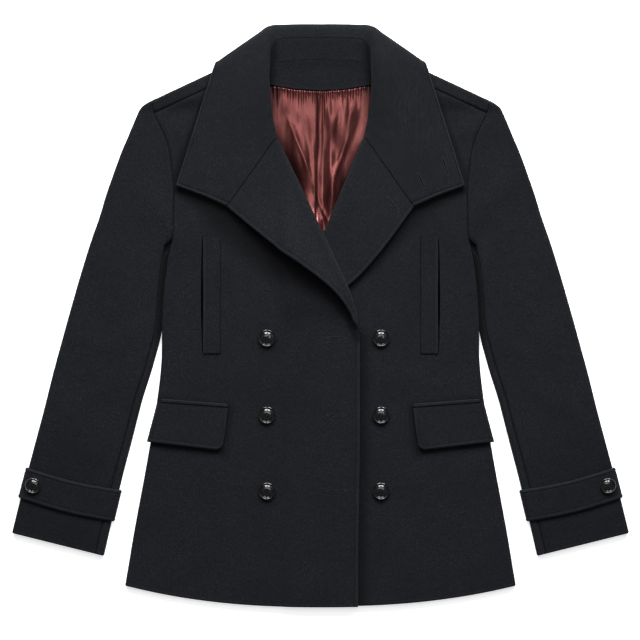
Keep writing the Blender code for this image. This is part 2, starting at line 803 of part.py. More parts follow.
def flap_rows():
    """The flap, with its inner lower corner rounded."""
    (top_out, top_in), (low_out, low_in) = (np.array(edge) for edge in (FLAP["top"], FLAP["bottom"]))
    corner = FLAP["corner"]
    length = np.linalg.norm(low_in - low_out)
    ends = [corner * (1 - math.cos(math.radians(a))) / length for a in (0, 30, 60, 90)]
    shares = [0.0, 0.3, 0.6] + [1 - e for e in ends[::-1]]
    rows = []
    for level in (0.0, 0.25, 0.5, 0.75, 1.0):
        row = []
        for share in shares:
            past = max(0.0, corner - (1 - share) * length)
            short = corner - math.sqrt(max(corner**2 - past**2, 0.0))
            top = top_out + (top_in - top_out) * share
            low = low_out + (low_in - low_out) * share
            low = low + (top - low) / np.linalg.norm(top - low) * short
            out, y = top + (low - top) * level
            row.append((out, y, FRONT_Z + WOOL / 2 + SEAM + TURNED / 2))
        rows.append(row)
    return rows


def jet_rows(front):
    """The narrow strip that the flap hangs from."""
    outer, inner = (np.array(end) + (0, SEAM) for end in FLAP["top"])
    rows = []
    for rise in (0.0, JET_WIDTH):
        row = []
        for share in (0.0, 0.25, 0.5, 0.75, 1.0):
            out, y = outer + (inner - outer) * share + (0, rise)
            out = min(out, side_out(y) - FOLD - WOOL)
            row.append((out, y, on_front(front, out, y, JET)))
        rows.append(row)
    return rows


def pockets(name, front, collection):
    for piece, rows, thickness in (
        ("pocket_welt", welt_rows(front), TURNED),
        ("pocket_flap", flap_rows(), TURNED),
        ("pocket_jet", jet_rows(front), JET),
    ):
        sheet(f"{piece}_{name}", [placed(front["side"], rows)], thickness, "melton", collection)


# ---------------------------------------------------------------- buttons


def button_mesh(name, diameter, cutters):
    """A turned four-hole button with a raised rim, standing on Z = 0."""
    radius = diameter / 2 * MM
    profile = bpy.data.meshes.new(name + "_profile")
    points = [(r * radius, 0, z * radius) for r, z in BUTTON_PROFILE]
    profile.from_pydata(points, [(i, i + 1) for i in range(len(points) - 1)], [])
    turned = bpy.data.objects.new(name + "_turned", profile)
    cutters.objects.link(turned)
    screw = turned.modifiers.new("Turn", "SCREW")
    screw.steps = screw.render_steps = BUTTON_SIDES
    screw.use_merge_vertices = True
    screw.merge_threshold = 1e-6
    cutter = bmesh.new()
    for i in range(4):
        angle = math.radians(45 + 90 * i)
        made = bmesh.ops.create_cone(
            cutter,
            cap_ends=True,
            segments=HOLE_SIDES,
            radius1=HOLE_RADIUS * radius,
            radius2=HOLE_RADIUS * radius,
            depth=radius,
        )
        shift = (HOLE_AT * radius * math.cos(angle), HOLE_AT * radius * math.sin(angle), radius * 0.2)
        bmesh.ops.translate(cutter, verts=made["verts"], vec=shift)
    holes_mesh = bpy.data.meshes.new(name + "_holes")
    cutter.to_mesh(holes_mesh)
    cutter.free()
    holes = bpy.data.objects.new(name + "_holes", holes_mesh)
    cutters.objects.link(holes)
    cut = turned.modifiers.new("Holes", "BOOLEAN")
    cut.operation = "DIFFERENCE"
    cut.object = holes
    for helper in (turned, holes):
        helper.hide_render = True
        helper.display_type = "WIRE"
    bpy.context.view_layer.update()
    graph = bpy.context.evaluated_depsgraph_get()
    mesh = bpy.data.meshes.new_from_object(turned.evaluated_get(graph))
    mesh.name = name
    mesh.shade_smooth()
    mesh.set_sharp_from_angle(angle=math.radians(50))
    mesh.materials.clear()
    mesh.materials.append(material("horn"))
    bpy.data.objects.remove(turned)
    bpy.data.objects.remove(holes)
    return mesh


def put_button(name, mesh, x, y, z, collection):
    button = bpy.data.objects.new(name, mesh)
    button.location = (x * MM, y * MM, z * MM)
    collection.objects.link(button)


def buttons(collection, cutters):
    front_mesh = button_mesh("front_button", FRONT_BUTTON, cutters)
    cuff_mesh = button_mesh("cuff_button", CUFF_BUTTON, cutters)
    for name, front in (("right", OVER), ("left", UNDER)):
        out = BUTTON_OUT[name]
        for i, y in enumerate(BUTTON_Y, 1):
            z = front_z(front, out - FRONT_BUTTON / 2, y) + WOOL / 2 + SEAM
            put_button(f"button_{name}_{i}", front_mesh, front["side"] * out, y, z, collection)
        row = strap_rows()[1]
        outer, inner = np.array(row[0]), np.array(row[-1])
        across = (inner - outer)[:2] / np.linalg.norm((inner - outer)[:2])
        x, y = outer[:2] + across * CUFF_BUTTON_IN
        z = row[5][2] + STRAP / 2 + SEAM
        put_button(f"cuff_button_{name}", cuff_mesh, front["side"] * x, y, z, collection)


# ---------------------------------------------------------------- the coat


def new_collection(name):
    collection = bpy.data.collections.new(name)
    bpy.context.scene.collection.children.link(collection)
    return collection


def main():
    for thing in list(bpy.data.objects):
        bpy.data.objects.remove(thing)
    coat, cutters = new_collection("pea_coat"), new_collection("cutters")
    back(coat)
    lining(coat)
    neck_facing(coat)
    front_panel("front_left", UNDER, 10, coat)
    front_panel("front_right", OVER, 10, coat)
    facing("lapel_facing_left", UNDER, coat)
    facing("lapel_facing_right", OVER, coat)
    collar_stand(coat)
    collar_fall(coat)
    sleeves(coat)
    pockets("right", OVER, coat)
    pockets("left", UNDER, coat)
    buttons(coat, cutters)


main()
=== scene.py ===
"""A double-breasted pea coat, laid flat on its back and buttoned right over left.

Sizes are in millimetres and meshes in metres. X runs across the coat, Y from the hem to
the neck, and Z up from the floor. "out" is the distance from the centre line towards a
piece's own side seam, so one set of sizes serves both of the coat's sides.
"""

import logging
import math
from dataclasses import dataclass, field
from enum import Enum
from typing import Callable, Iterable, Sequence

import bmesh
import bpy
import numpy as np
from mathutils import Matrix, Vector
from mathutils.bvhtree import BVHTree


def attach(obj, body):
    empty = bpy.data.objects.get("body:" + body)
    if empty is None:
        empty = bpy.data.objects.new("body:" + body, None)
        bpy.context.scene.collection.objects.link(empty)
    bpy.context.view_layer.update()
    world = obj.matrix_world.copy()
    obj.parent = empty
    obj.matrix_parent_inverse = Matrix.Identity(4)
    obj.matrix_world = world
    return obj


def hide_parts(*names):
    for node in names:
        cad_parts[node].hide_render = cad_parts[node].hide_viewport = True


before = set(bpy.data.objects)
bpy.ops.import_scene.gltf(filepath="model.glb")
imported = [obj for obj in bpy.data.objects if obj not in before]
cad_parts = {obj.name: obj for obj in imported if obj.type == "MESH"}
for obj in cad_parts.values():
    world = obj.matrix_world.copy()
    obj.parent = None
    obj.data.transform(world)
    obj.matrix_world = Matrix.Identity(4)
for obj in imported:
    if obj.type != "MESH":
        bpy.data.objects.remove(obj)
LOG = logging.getLogger("pea_coat")

MM = 0.001
Array = np.ndarray
Rows = np.ndarray  # a grid of points: rows, columns, and out, y, z or X, Y, Z
Socket = bpy.types.NodeSocket
Material = bpy.types.Material
Mesh = bpy.types.Mesh
Table = tuple[tuple[float, ...], ...]


class Side(Enum):
    """The wearer's side of the coat, with the sign of X there."""

    RIGHT = -1
    LEFT = 1

    @property
    def word(self) -> str:
        """The side's name as it ends a piece's name."""
        return self.name.lower()


class Slot(Enum):
    """The record's material slots."""

    MELTON = "melton"
    COLLAR = "collar_melton"
    SATIN = "satin"
    HORN = "horn"


class Rim(Enum):
    """How a panel ends along one of its edges."""

    OPEN = "open"  # carries on into another piece, out of sight
    SEAM = "seam"  # dips into the seam that joins it to its neighbour
    TURNED = "turned"  # a soft turned edge
    STITCHED = "stitched"  # a turned edge with a line of topstitching inside it


OPEN, SEAM, TURNED, STITCHED = Rim


# ---- curves


def ease(value: Array | float) -> Array | float:
    """Smooth step from 0 to 1."""
    value = np.clip(value, 0.0, 1.0)
    return value * value * (3 - 2 * value)


def unit(vector: Array) -> Array:
    """The vector, or each of them, at length 1."""
    length = np.linalg.norm(vector, axis=-1, keepdims=True)
    return vector / np.maximum(length, 1e-9)


def hermite(t: Array, p0: Array, p1: Array, m0: Array, m1: Array) -> Array:
    """Points on cubic stretches.

    Args:
        t: share of each stretch, from 0 to 1.
        p0, p1: its ends.
        m0, m1: its tangents there, over the whole stretch.

    Returns:
        The points.
    """
    return (
        (2 * t**3 - 3 * t**2 + 1) * p0
        + (t**3 - 2 * t**2 + t) * m0
        + (3 * t**2 - 2 * t**3) * p1
        + (t**3 - t**2) * m1
    )


def grid(*parts: Array) -> Rows:
    """Rows of points from their coordinates, each a column of rows, a row or a whole grid."""
    return np.stack(np.broadcast_arrays(*parts), axis=-1)


def stretch(knots: Array, place: Array | float) -> tuple[Array, Array]:
    """Which stretch between knots each place is on, and its share of it."""
    i = np.clip(np.searchsorted(knots, place, side="right") - 1, 0, len(knots) - 2)
    return i, (place - knots[i]) / (knots[i + 1] - knots[i])


class Graph:
    """A smooth value against one coordinate, level past its ends."""

    def __init__(self, points: Iterable[tuple[float, float]]) -> None:
        """Takes (coordinate, value) pairs in any order."""
        table = np.array(sorted(points), float)
        self.places, self.values = table[:, 0], table[:, 1]
        secants = np.diff(self.values) / np.diff(self.places)
        slopes = np.concatenate([secants[:1], (secants[1:] + secants[:-1]) / 2, secants[-1:]])
        turns = np.concatenate([[False], secants[1:] * secants[:-1] <= 0, [False]])
        self.slopes = np.where(turns, 0.0, slopes)

    def at(self, place: Array | float) -> Array:
        """The value at a place, or at each of several."""
        place = np.clip(place, self.places[0], self.places[-1])
        i, t = stretch(self.places, place)
        width = self.places[i + 1] - self.places[i]
        slopes0, slopes1 = self.slopes[i] * width, self.slopes[i + 1] * width
        return hermite(t, self.values[i], self.values[i + 1], slopes0, slopes1)


class Path:
    """A smooth curve through points of any dimension, read by its share of the length."""

    def __init__(self, points: Sequence[Sequence[float]], by_length: bool = True) -> None:
        """Takes the points, spaced by their distances or, if not by_length, evenly."""
        self.points = np.array(points, float)
        steps = np.linalg.norm(np.diff(self.points, axis=0), axis=1)
        knots = np.concatenate([[0.0], np.cumsum(steps if by_length else steps * 0 + 1)])
        self.knots, self.length = knots / knots[-1], float(steps.sum())
        padded = np.vstack([self.points[:1], self.points, self.points[-1:]])
        self.headings = unit(padded[2:] - padded[:-2])

    def at(self, share: Array | float) -> Array:
        """The point at a share from 0 to 1, or a row of them."""
        share = np.clip(share, 0.0, 1.0)
        i, t = stretch(self.knots, share)
        t, p0, p1 = np.asarray(t)[..., None], self.points[i], self.points[i + 1]
        chord = np.linalg.norm(p1 - p0, axis=-1, keepdims=True)
        return hermite(t, p0, p1, self.headings[i] * chord, self.headings[i + 1] * chord)


# ---- the coat's lines


@dataclass(frozen=True)
class Layers:
    """Thicknesses of the cloth, and the heights that follow from them."""

    wool: float = 2.5
    turned: float = 4.0
    collar: float = 4.0
    strap: float = 3.0
    satin: float = 1.0
    seam: float = 0.3
    fold: float = 3.0  # middle radius of the side, sleeve and shoulder folds

    @property
    def back_z(self) -> float:
        """Middle of the back panel."""
        return self.wool / 2

    @property
    def front_z(self) -> float:
        """Middle of a front panel."""
        return self.back_z + 2 * self.fold

    @property
    def edge_in(self) -> float:
        """From an outline in to the start of its fold."""
        return self.fold + self.wool / 2


LAYERS = Layers()


@dataclass(frozen=True)
class Outline:
    """The coat's main lines: side seams, armholes, hem, neckline and shoulders."""

    side: Table = (  # out, y: the side seam from the hem up, then the armhole
        (254.6, -351.8), (243, -281.8), (227.6, -198.6), (215.2, -125.8), (207.3, -60.8), (206.7, -25.7),
        (204.8, 19.8), (201.5, 52.3), (197, 82.2), (192.4, 101.7), (191.4, 131.6), (191.1, 156.3),
        (192.4, 182.3), (195.7, 208.3), (201.5, 230.4), (210, 248.6), (217.1, 262.9), (220, 279),
    )
    neckline: Table = (  # out, y of the front's edge, from the gorge to the shoulder seam
        (63.6, 239.5), (66, 252.5), (69, 272), (70.8, 290), (71.2, 307), (76, 327.3),
    )
    hem_half: float = 254.6
    hem_side_y: float = -351.8
    hem_front_y: float = -379.9
    hem_back_y: float = -375.0
    chest_y: float = 190.0
    gorge_side_y: float = 205.0
    underarm_y: float = 101.7
    underarm_blend: float = 32.0
    shoulder_seam: Table = ((217.1, 262.9), (76.0, 327.3))  # armhole end, neck end
    shoulder_fold: Table = ((220.0, 279.0), (77.0, 346.1))
    lift_from_y: float = 262.0
    lift_full_y: float = 284.0

    def side_out(self, y: Array | float) -> Array:
        """How far out the side seam or armhole is at height y."""
        return Graph([(row[1], row[0]) for row in self.side]).at(y)

    def hem_y(self, out: Array | float, middle: float) -> Array:
        """The hem, level in the middle and rising to the side seams."""
        share = np.minimum(np.abs(out), self.hem_half) / self.hem_half
        return middle + (self.hem_side_y - middle) * share**2.35

    def lift(self, y: Array | float) -> Array:
        """How far the collar's hidden fall raises what lies on it."""
        full = LAYERS.collar + LAYERS.seam
        return full * ease((y - self.lift_from_y) / (self.lift_full_y - self.lift_from_y))

    def wrapped(self, y: Array | float) -> Array:
        """How far the side is folded: 1 below the underarm, 0 at the armhole."""
        return ease((self.underarm_y - y) / self.underarm_blend)


OUTLINE = Outline()


# ---- creases


@dataclass(frozen=True)
class Crease:
    """One soft ridge, or a trough where its height is negative."""

    x: float
    y: float
    angle: float  # of its length, in degrees from X
    length: float
    width: float
    height: float

    def rise(self, x: Array, y: Array) -> Array:
        """Its height at each place."""
        turn = math.radians(self.angle)
        along = (x - self.x) * math.cos(turn) + (y - self.y) * math.sin(turn)
        across = (y - self.y) * math.cos(turn) - (x - self.x) * math.sin(turn)
        across = across + 0.06 * along * np.sin(along / self.length * 2.1)  # a little bent
        spread = self.width * (0.8 + 0.4 * ease(0.5 + along / self.length))
        return self.height * np.exp(-((2.2 * along / self.length) ** 2) - (1.7 * across / spread) ** 2)


@dataclass(frozen=True)
class Drape:
    """How the whole coat's cloth rises from lying dead flat."""

    creases: tuple[Crease, ...]

    def rise(self, x: Array, y: Array) -> Array:
        """How far a front or a top sleeve is raised at each place, in millimetres."""
        soft = 0.35 * np.sin(x / 61 + 1.3 * np.sin(y / 83)) * np.sin(y / 74 + 0.9 * np.sin(x / 57))
        soft = soft + 0.16 * np.sin(x / 23 + y / 41 + np.sin(y / 29)) * np.sin(y / 27 - x / 52)
        return soft + sum(crease.rise(x, y) for crease in self.creases)

    def lay(self, points: Array) -> Array:
        """The points with their heights stretched by the rise, so that no layer crosses another."""
        laid = np.array(points, float)
        share = np.clip(laid[..., 2] / LAYERS.front_z, 0.0, 1.0)
        laid[..., 2] += self.rise(laid[..., 0], laid[..., 1]) * share
        return laid


CREASES: Table = (  # x, y, angle, length, width, height
    # fronts: out of the underarms, across the waist and down the skirt
    (-168, 96, 62, 120, 26, 1.5), (-150, 60, 74, 110, 22, -0.9), (172, 104, 116, 130, 24, 1.6),
    (154, 58, 104, 120, 26, -0.9), (-112, -76, 8, 150, 34, 0.9), (-40, -94, -6, 150, 30, 0.7),
    (120, -84, -9, 140, 30, 0.9), (-178, -206, 80, 190, 44, 1.3), (-96, -262, 88, 200, 52, 0.8),
    (8, -250, 93, 190, 48, -0.8), (112, -232, 90, 210, 46, 1), (186, -262, 101, 170, 40, 1.2),
    (20, -352, 2, 120, 22, 0.5),
    # sleeves: round the underarm, at the elbows and above the straps
    (-204, 130, 118, 90, 20, 2.1), (-226, 100, 122, 110, 22, -1.2), (-262, 44, 108, 140, 34, 1.4),
    (-252, -30, 28, 90, 24, 1.5), (-300, -34, 152, 90, 26, 1.3), (-286, -96, 34, 100, 24, 1.3),
    (-330, -132, 76, 120, 30, 1), (206, 138, 60, 100, 20, 2.4), (224, 116, 56, 120, 20, -1.3),
    (242, 156, 64, 120, 22, 2), (272, 60, 74, 130, 32, 1.2), (246, -40, 150, 90, 24, 1.6),
    (304, -22, 30, 90, 26, 1.2), (292, -104, 146, 100, 24, 1.2), (338, -130, 104, 120, 30, 1),
    # shoulders
    (-186, 242, 158, 90, 24, 1.1), (188, 240, 22, 90, 24, 1.1),
)
DRAPE = Drape(tuple(Crease(*row) for row in CREASES))


# ---- walls of cloth


@dataclass(frozen=True)
class Rims:
    """The four edges of a panel: the ends of its rows, and its first and last row.

    The end may change along the edge: then share_end says, for each height y of the
    edge, how much of the rim there is.
    """

    begin: Rim = TURNED
    end: Rim = TURNED
    first: Rim = TURNED
    last: Rim = TURNED
    share_end: Callable[[Array], Array] | None = None


@dataclass(frozen=True)
class Weight:
    """How one kind of cloth behaves at its edges and how finely its panel is divided."""

    thick: float
    round_over: float = 1.6  # from a turned edge to full thickness
    stitch_in: float = 5.2  # from an edge to its topstitching
    stitch_deep: float = 0.75
    seam_over: float = 2.6
    seam_deep: float = 0.7
    seam_puff: float = 0.0
    seam_dark: float = 0.6  # how dark the painted shade in the seam is
    across: float = 5.0  # spacing of its columns and rows
    along: float = 5.0
    bend: float = 14.0  # most degrees that one step turns

    def profile(self, rim: Rim, distance: Array) -> tuple[Array, Array, Array]:
        """The wall near one rim.

        Args:
            rim: how the panel ends there.
            distance: from the rim, for each point.

        Returns:
            The share of the thickness, how far the shown face lies below its plane, and
            how dark the painted shade in its seams and stitch grooves is.
        """
        full, none = np.ones_like(distance), np.zeros_like(distance)
        if rim is OPEN:
            return full, none, none
        if rim is SEAM:
            dip = self.seam_deep * np.clip(1 - distance / self.seam_over, 0, 1) ** 2
            puff = self.seam_puff * np.exp(-((distance / self.seam_over - 1.8) ** 2))
            # painted shade along the seam
            return full, dip - puff, self.seam_dark * np.exp(-((distance / 1.2) ** 2))
        near = np.clip(distance / self.round_over, 0, 1)
        share = np.sqrt(np.clip(1 - (1 - near) ** 2, 0, 1))
        if rim is TURNED:
            return share, none, none
        groove = np.exp(-(((distance - self.stitch_in) / 0.85) ** 2))
        puff = np.sin(math.pi * np.clip(distance / self.stitch_in, 0, 1)) ** 2
        # painted shade in the topstitch groove
        return share, self.stitch_deep * groove - 0.45 * puff, 0.4 * self.stitch_deep * groove


def normals_of(rows: Rows) -> Rows:
    """The surface's directions at its points, evened out with their neighbours'.

    Args:
        rows: its points.

    Returns:
        A unit direction for each point.
    """
    normal = unit(np.cross(np.gradient(rows, axis=1), np.gradient(rows, axis=0)))
    for _ in range(2):
        wide = np.pad(normal, ((1, 1), (1, 1), (0, 0)), mode="edge")
        normal = unit(2 * normal + wide[:-2, 1:-1] + wide[2:, 1:-1] + wide[1:-1, :-2] + wide[1:-1, 2:])
    return normal


class Panel:
    """One piece of cloth: a middle surface given a wall, and its edges finished.

    Attributes:
        middle: the points of its middle surface, evenly set out.
        shown: the points of the face that shows.
        shade: how dark its painted shade is at each point, from 0 to 1.
    """

    def __init__(self, rows: Rows, weight: Weight, rims: Rims, up: Sequence[float] = (0, 0, 1)) -> None:
        """Sets the panel out.

        Args:
            rows: its middle surface, closely spaced; a fourth value is its painted shade there.
            weight: its cloth.
            rims: how its edges are finished.
            up: the way that the shown face looks at the middle of the panel.
        """
        self.weight, self.rims = weight, rims
        rows = self._set_out(np.asarray(rows, float), weight.across, False)
        rows = self._set_out(rows.swapaxes(0, 1), weight.along, True).swapaxes(0, 1)
        self.middle = rows[..., :3]
        self.shade = rows[..., 3] if rows.shape[2] > 3 else np.zeros(rows.shape[:2])
        normal = normals_of(self.middle)
        centre = normal[normal.shape[0] // 2, normal.shape[1] // 2]
        self.normal = normal if centre @ np.array(up, float) >= 0 else -normal
        self._measure()
        self._finish()

    def _set_out(self, rows: Rows, spacing: float, together: bool) -> Rows:
        """The rows with new columns: even, but closer near both ends and round bends.

        Args:
            rows: the rows.
            spacing: between columns where the row is plain.
            together: whether all rows are divided alike, and not each by its own length.

        Returns:
            The rows, newly divided.
        """
        steps = np.diff(rows[..., :3], axis=1)
        lengths = np.linalg.norm(steps, axis=2)
        run = np.concatenate([np.zeros((len(rows), 1)), np.cumsum(lengths, axis=1)], axis=1)
        middle = (run[:, 1:] + run[:, :-1]) / 2
        near = np.minimum(middle, run[:, -1:] - middle)
        dense = 1 / spacing + 1.3 * (near < 1.9) + 0.75 * (near < 7.5)
        headings = unit(steps)
        turn = np.degrees(np.arccos(np.clip((headings[:, 1:] * headings[:, :-1]).sum(axis=2), -1, 1)))
        turn = np.pad(turn, ((0, 0), (1, 0))) * (lengths > 1e-3)
        bend = np.minimum(turn.mean(axis=0), 40.0) / self.weight.bend
        cost = lengths * dense + bend[None, :] + 1e-9
        cost = np.concatenate([np.zeros((len(rows), 1)), np.cumsum(cost, axis=1)], axis=1)
        count = int(math.ceil(np.percentile(cost[:, -1], 90))) + 1
        if together:
            cost = np.tile(cost.mean(axis=0), (len(cost), 1))
        shares = np.linspace(0, 1, count)
        made = [[np.interp(shares * at[-1], at, axis) for axis in row.T] for row, at in zip(rows, cost)]
        return np.array(made).swapaxes(1, 2)

    def _measure(self) -> None:
        """Notes how far each point is from its neighbours and from each edge."""
        self.across = np.linalg.norm(np.diff(self.middle, axis=1), axis=2)
        self.down = np.linalg.norm(np.diff(self.middle, axis=0), axis=2)
        begin = np.pad(np.cumsum(self.across, axis=1), ((0, 0), (1, 0)))
        first = np.pad(np.cumsum(self.down, axis=0), ((1, 0), (0, 0)))
        self.far = {"begin": begin, "end": begin[:, -1:] - begin, "first": first, "last": first[-1:] - first}

    def _finish(self) -> None:
        """Works the rims into the wall's thickness and its shown face."""
        thick, below = np.ones(self.middle.shape[:2]), np.zeros(self.middle.shape[:2])
        heights = self.middle[:, -1:, 1]
        amounts = (None, self.rims.share_end, None, None)
        for (rim, distance), amount in zip(self.edges(), amounts):
            share, deep, shade = self.weight.profile(rim, distance)
            if amount is not None:
                share = 1 - (1 - share) * amount(heights)
                deep, shade = deep * amount(heights), shade * amount(heights)
            thick, below, self.shade = thick * share, below + deep, np.maximum(self.shade, shade)
        half = (thick * self.weight.thick / 2)[..., None]
        self.shown = self.middle + self.normal * (half - below[..., None])
        self.hidden = self.middle - self.normal * half

    def edges(self) -> list[tuple[Rim, Array]]:
        """Each edge's rim, with the distance of every point from it."""
        return [(getattr(self.rims, name), far) for name, far in self.far.items()]

    def line(self, rim: str, distance: float) -> Array:
        """A line on the shown face, at one distance from an edge.

        Args:
            rim: begin, end, first or last.
            distance: from that edge.

        Returns:
            Its points.
        """
        run, shown = self.far[rim], self.shown
        if rim in ("first", "last"):
            run, shown = run.T, shown.swapaxes(0, 1)
        if rim in ("end", "last"):
            run, shown = run[:, ::-1], shown[:, ::-1]
        long_enough = [(far, spots.T) for far, spots in zip(run, shown) if far[-1] > 2 * distance]
        return np.array([[np.interp(distance, far, axis) for axis in spots] for far, spots in long_enough])

    def cut(self) -> tuple[float, float, float]:
        """The panel's flat width, length and area, in metres."""
        across, down = self.across, self.down
        width, length = across.sum(axis=1).max() * MM, down.sum(axis=0).max() * MM
        area = ((across[1:] + across[:-1]) * (down[:, 1:] + down[:, :-1])).sum() / 4 * MM * MM
        return width, length, min(area, width * length)


def mesh_of(name: str, panels: Sequence[Panel]) -> Mesh:
    """One mesh of closed walls, with a UV in metres, each point's distance from its rims and its painted
    shade.

    Args:
        name: the mesh's name.
        panels: the panels that it is made of.

    Returns:
        The mesh.
    """
    points, faces, flats, rims, shades, start = [], [], [], [], [], 0
    for panel in panels:
        down, across = panel.middle.shape[:2]
        count = down * across
        nearest = np.full((down, across), 100.0)
        for kind, distance in panel.edges():
            if kind in (TURNED, STITCHED):
                nearest = np.minimum(nearest, distance)
        index = np.arange(count).reshape(down, across)
        corners = (index[:-1, :-1], index[:-1, 1:], index[1:, 1:], index[1:, :-1])
        quads = np.stack(corners, axis=-1).reshape(-1, 4)
        border = np.concatenate([index[0], index[1:, -1], index[-1, -2::-1], index[-2:0:-1, 0]])
        after = np.roll(border, -1)
        side = np.stack([after, border, border + count, after + count], axis=-1)
        made = np.vstack([quads, quads[:, ::-1] + count, side])
        flat = grid(panel.far["begin"], panel.far["first"]).reshape(-1, 2) * MM
        points.append(np.vstack([panel.shown.reshape(-1, 3), panel.hidden.reshape(-1, 3)]) * MM)
        flats.append(flat[made % count].reshape(-1, 2))
        faces.append(made + start)
        rims.append(np.tile(nearest.reshape(-1), 2) * MM)
        shades.append(np.tile(panel.shade.reshape(-1), 2))
        start += 2 * count
    data = bpy.data.meshes.new(name)
    data.from_pydata(np.vstack(points), [], np.vstack(faces).tolist())
    data.uv_layers.new(name="Cloth").uv.foreach_set("vector", np.vstack(flats).astype(np.float32).ravel())
    for word, values in (("rim", rims), ("shade", shades)):
        values = np.concatenate(values).astype(np.float32)
        data.attributes.new(word, "FLOAT", "POINT").data.foreach_set("value", values)
    mesh = bmesh.new()
    mesh.from_mesh(data)
    bmesh.ops.remove_doubles(mesh, verts=mesh.verts, dist=2e-6)
    bmesh.ops.dissolve_degenerate(mesh, edges=mesh.edges, dist=1e-6)
    if mesh.calc_volume(signed=True) < 0:
        bmesh.ops.reverse_faces(mesh, faces=mesh.faces)
    mesh.to_mesh(data)
    mesh.free()
    data.shade_smooth()
    return data


# ---- finishes


class Shading:
    """A material's node tree, with short calls for the nodes that cloth and horn need."""

    def __init__(self, name: str) -> None:
        """Starts the material with a Principled shader."""
        self.material = bpy.data.materials.new(name)
        self.material.use_nodes = True
        self.tree = self.material.node_tree
        self.shader = self.tree.nodes["Principled BSDF"]

    def node(self, kind: str, **inputs: object) -> bpy.types.Node:
        """A node of the given kind; inputs are its sockets by name, as values or other sockets."""
        return self.fill(self.tree.nodes.new(kind), inputs)

    def fill(self, node: bpy.types.Node, inputs: dict[str, object]) -> bpy.types.Node:
        """Sets or links a node's sockets by name."""
        for key, value in inputs.items():
            self.give(node.inputs[key.replace("_", " ")], value)
        return node

    def finish(self, **inputs: object) -> Material:
        """The material, once its shader's sockets are set or linked by name."""
        self.fill(self.shader, inputs)
        return self.material

    def give(self, socket: Socket, value: object) -> None:
        """Sets a socket, or links it where the value is another socket."""
        if isinstance(value, Socket):
            self.tree.links.new(value, socket)
        else:
            socket.default_value = value

    def cloth(self, stretch: tuple[float, float], turn: float = 0.0) -> Socket:
        """The cloth's own UV in metres, turned by some degrees and stretched.

        Args:
            stretch: how far a texture is drawn out along U and V.
            turn: its angle, in degrees.

        Returns:
            The coordinates.
        """
        uv = self.node("ShaderNodeUVMap")
        uv.uv_map = "Cloth"
        mapping = self.node("ShaderNodeMapping", Vector=uv.outputs["UV"])
        mapping.vector_type = "TEXTURE"
        mapping.inputs["Rotation"].default_value = (0, 0, math.radians(turn))
        mapping.inputs["Scale"].default_value = (*stretch, 1.0)
        return mapping.outputs["Vector"]

    def place(self) -> Socket:
        """Object coordinates."""
        return self.node("ShaderNodeTexCoord").outputs["Object"]

    def point(self, name: str) -> Socket:
        """A value that the mesh keeps at its points."""
        made = self.node("ShaderNodeAttribute")
        made.attribute_name = name
        return made.outputs["Fac"]

    def noise(self, vector: Socket, scale: float, detail: float = 2.0) -> Socket:
        """Noise from 0 to 1 at a scale per unit of the vector."""
        made = self.node("ShaderNodeTexNoise", Vector=vector, Scale=scale, Detail=detail)
        return made.outputs["Fac"]

    def spread(self, value: Socket, low: float, high: float, to: Sequence[float] = (0.0, 1.0)) -> Socket:
        """The value from low to high, spread over another range."""
        made = self.node("ShaderNodeMapRange", Value=value, From_Min=low, From_Max=high)
        made.inputs["To Min"].default_value, made.inputs["To Max"].default_value = to
        return made.outputs["Result"]

    def sum(self, kind: str, first: object, second: object) -> Socket:
        """A Math node's result."""
        made = self.tree.nodes.new("ShaderNodeMath")
        made.operation = kind
        self.give(made.inputs[0], first)
        self.give(made.inputs[1], second)
        return made.outputs["Value"]

    def mix(self, share: object, first: object, second: object, how: str = "MIX") -> Socket:
        """Two colours mixed.

        Args:
            share: how much of the second shows.
            first: a colour or a socket.
            second: another.
            how: the way they blend.

        Returns:
            The mixed colour.
        """
        made = self.tree.nodes.new("ShaderNodeMix")
        made.data_type, made.blend_type = "RGBA", how
        colours = [socket for socket in made.inputs if socket.type == "RGBA"]
        self.give(made.inputs["Factor"], share)
        for socket, value in zip(colours, (first, second)):
            self.give(socket, (*value, 1.0) if isinstance(value, tuple) else value)
        return next(socket for socket in made.outputs if socket.type == "RGBA")

    def bump(self, height: Socket, distance: float, strength: float, under: object = None) -> Socket:
        """A bumped normal, over another one if given."""
        made = self.node("ShaderNodeBump", Height=height, Distance=distance, Strength=strength)
        if under is not None:
            self.give(made.inputs["Normal"], under)
        return made.outputs["Normal"]


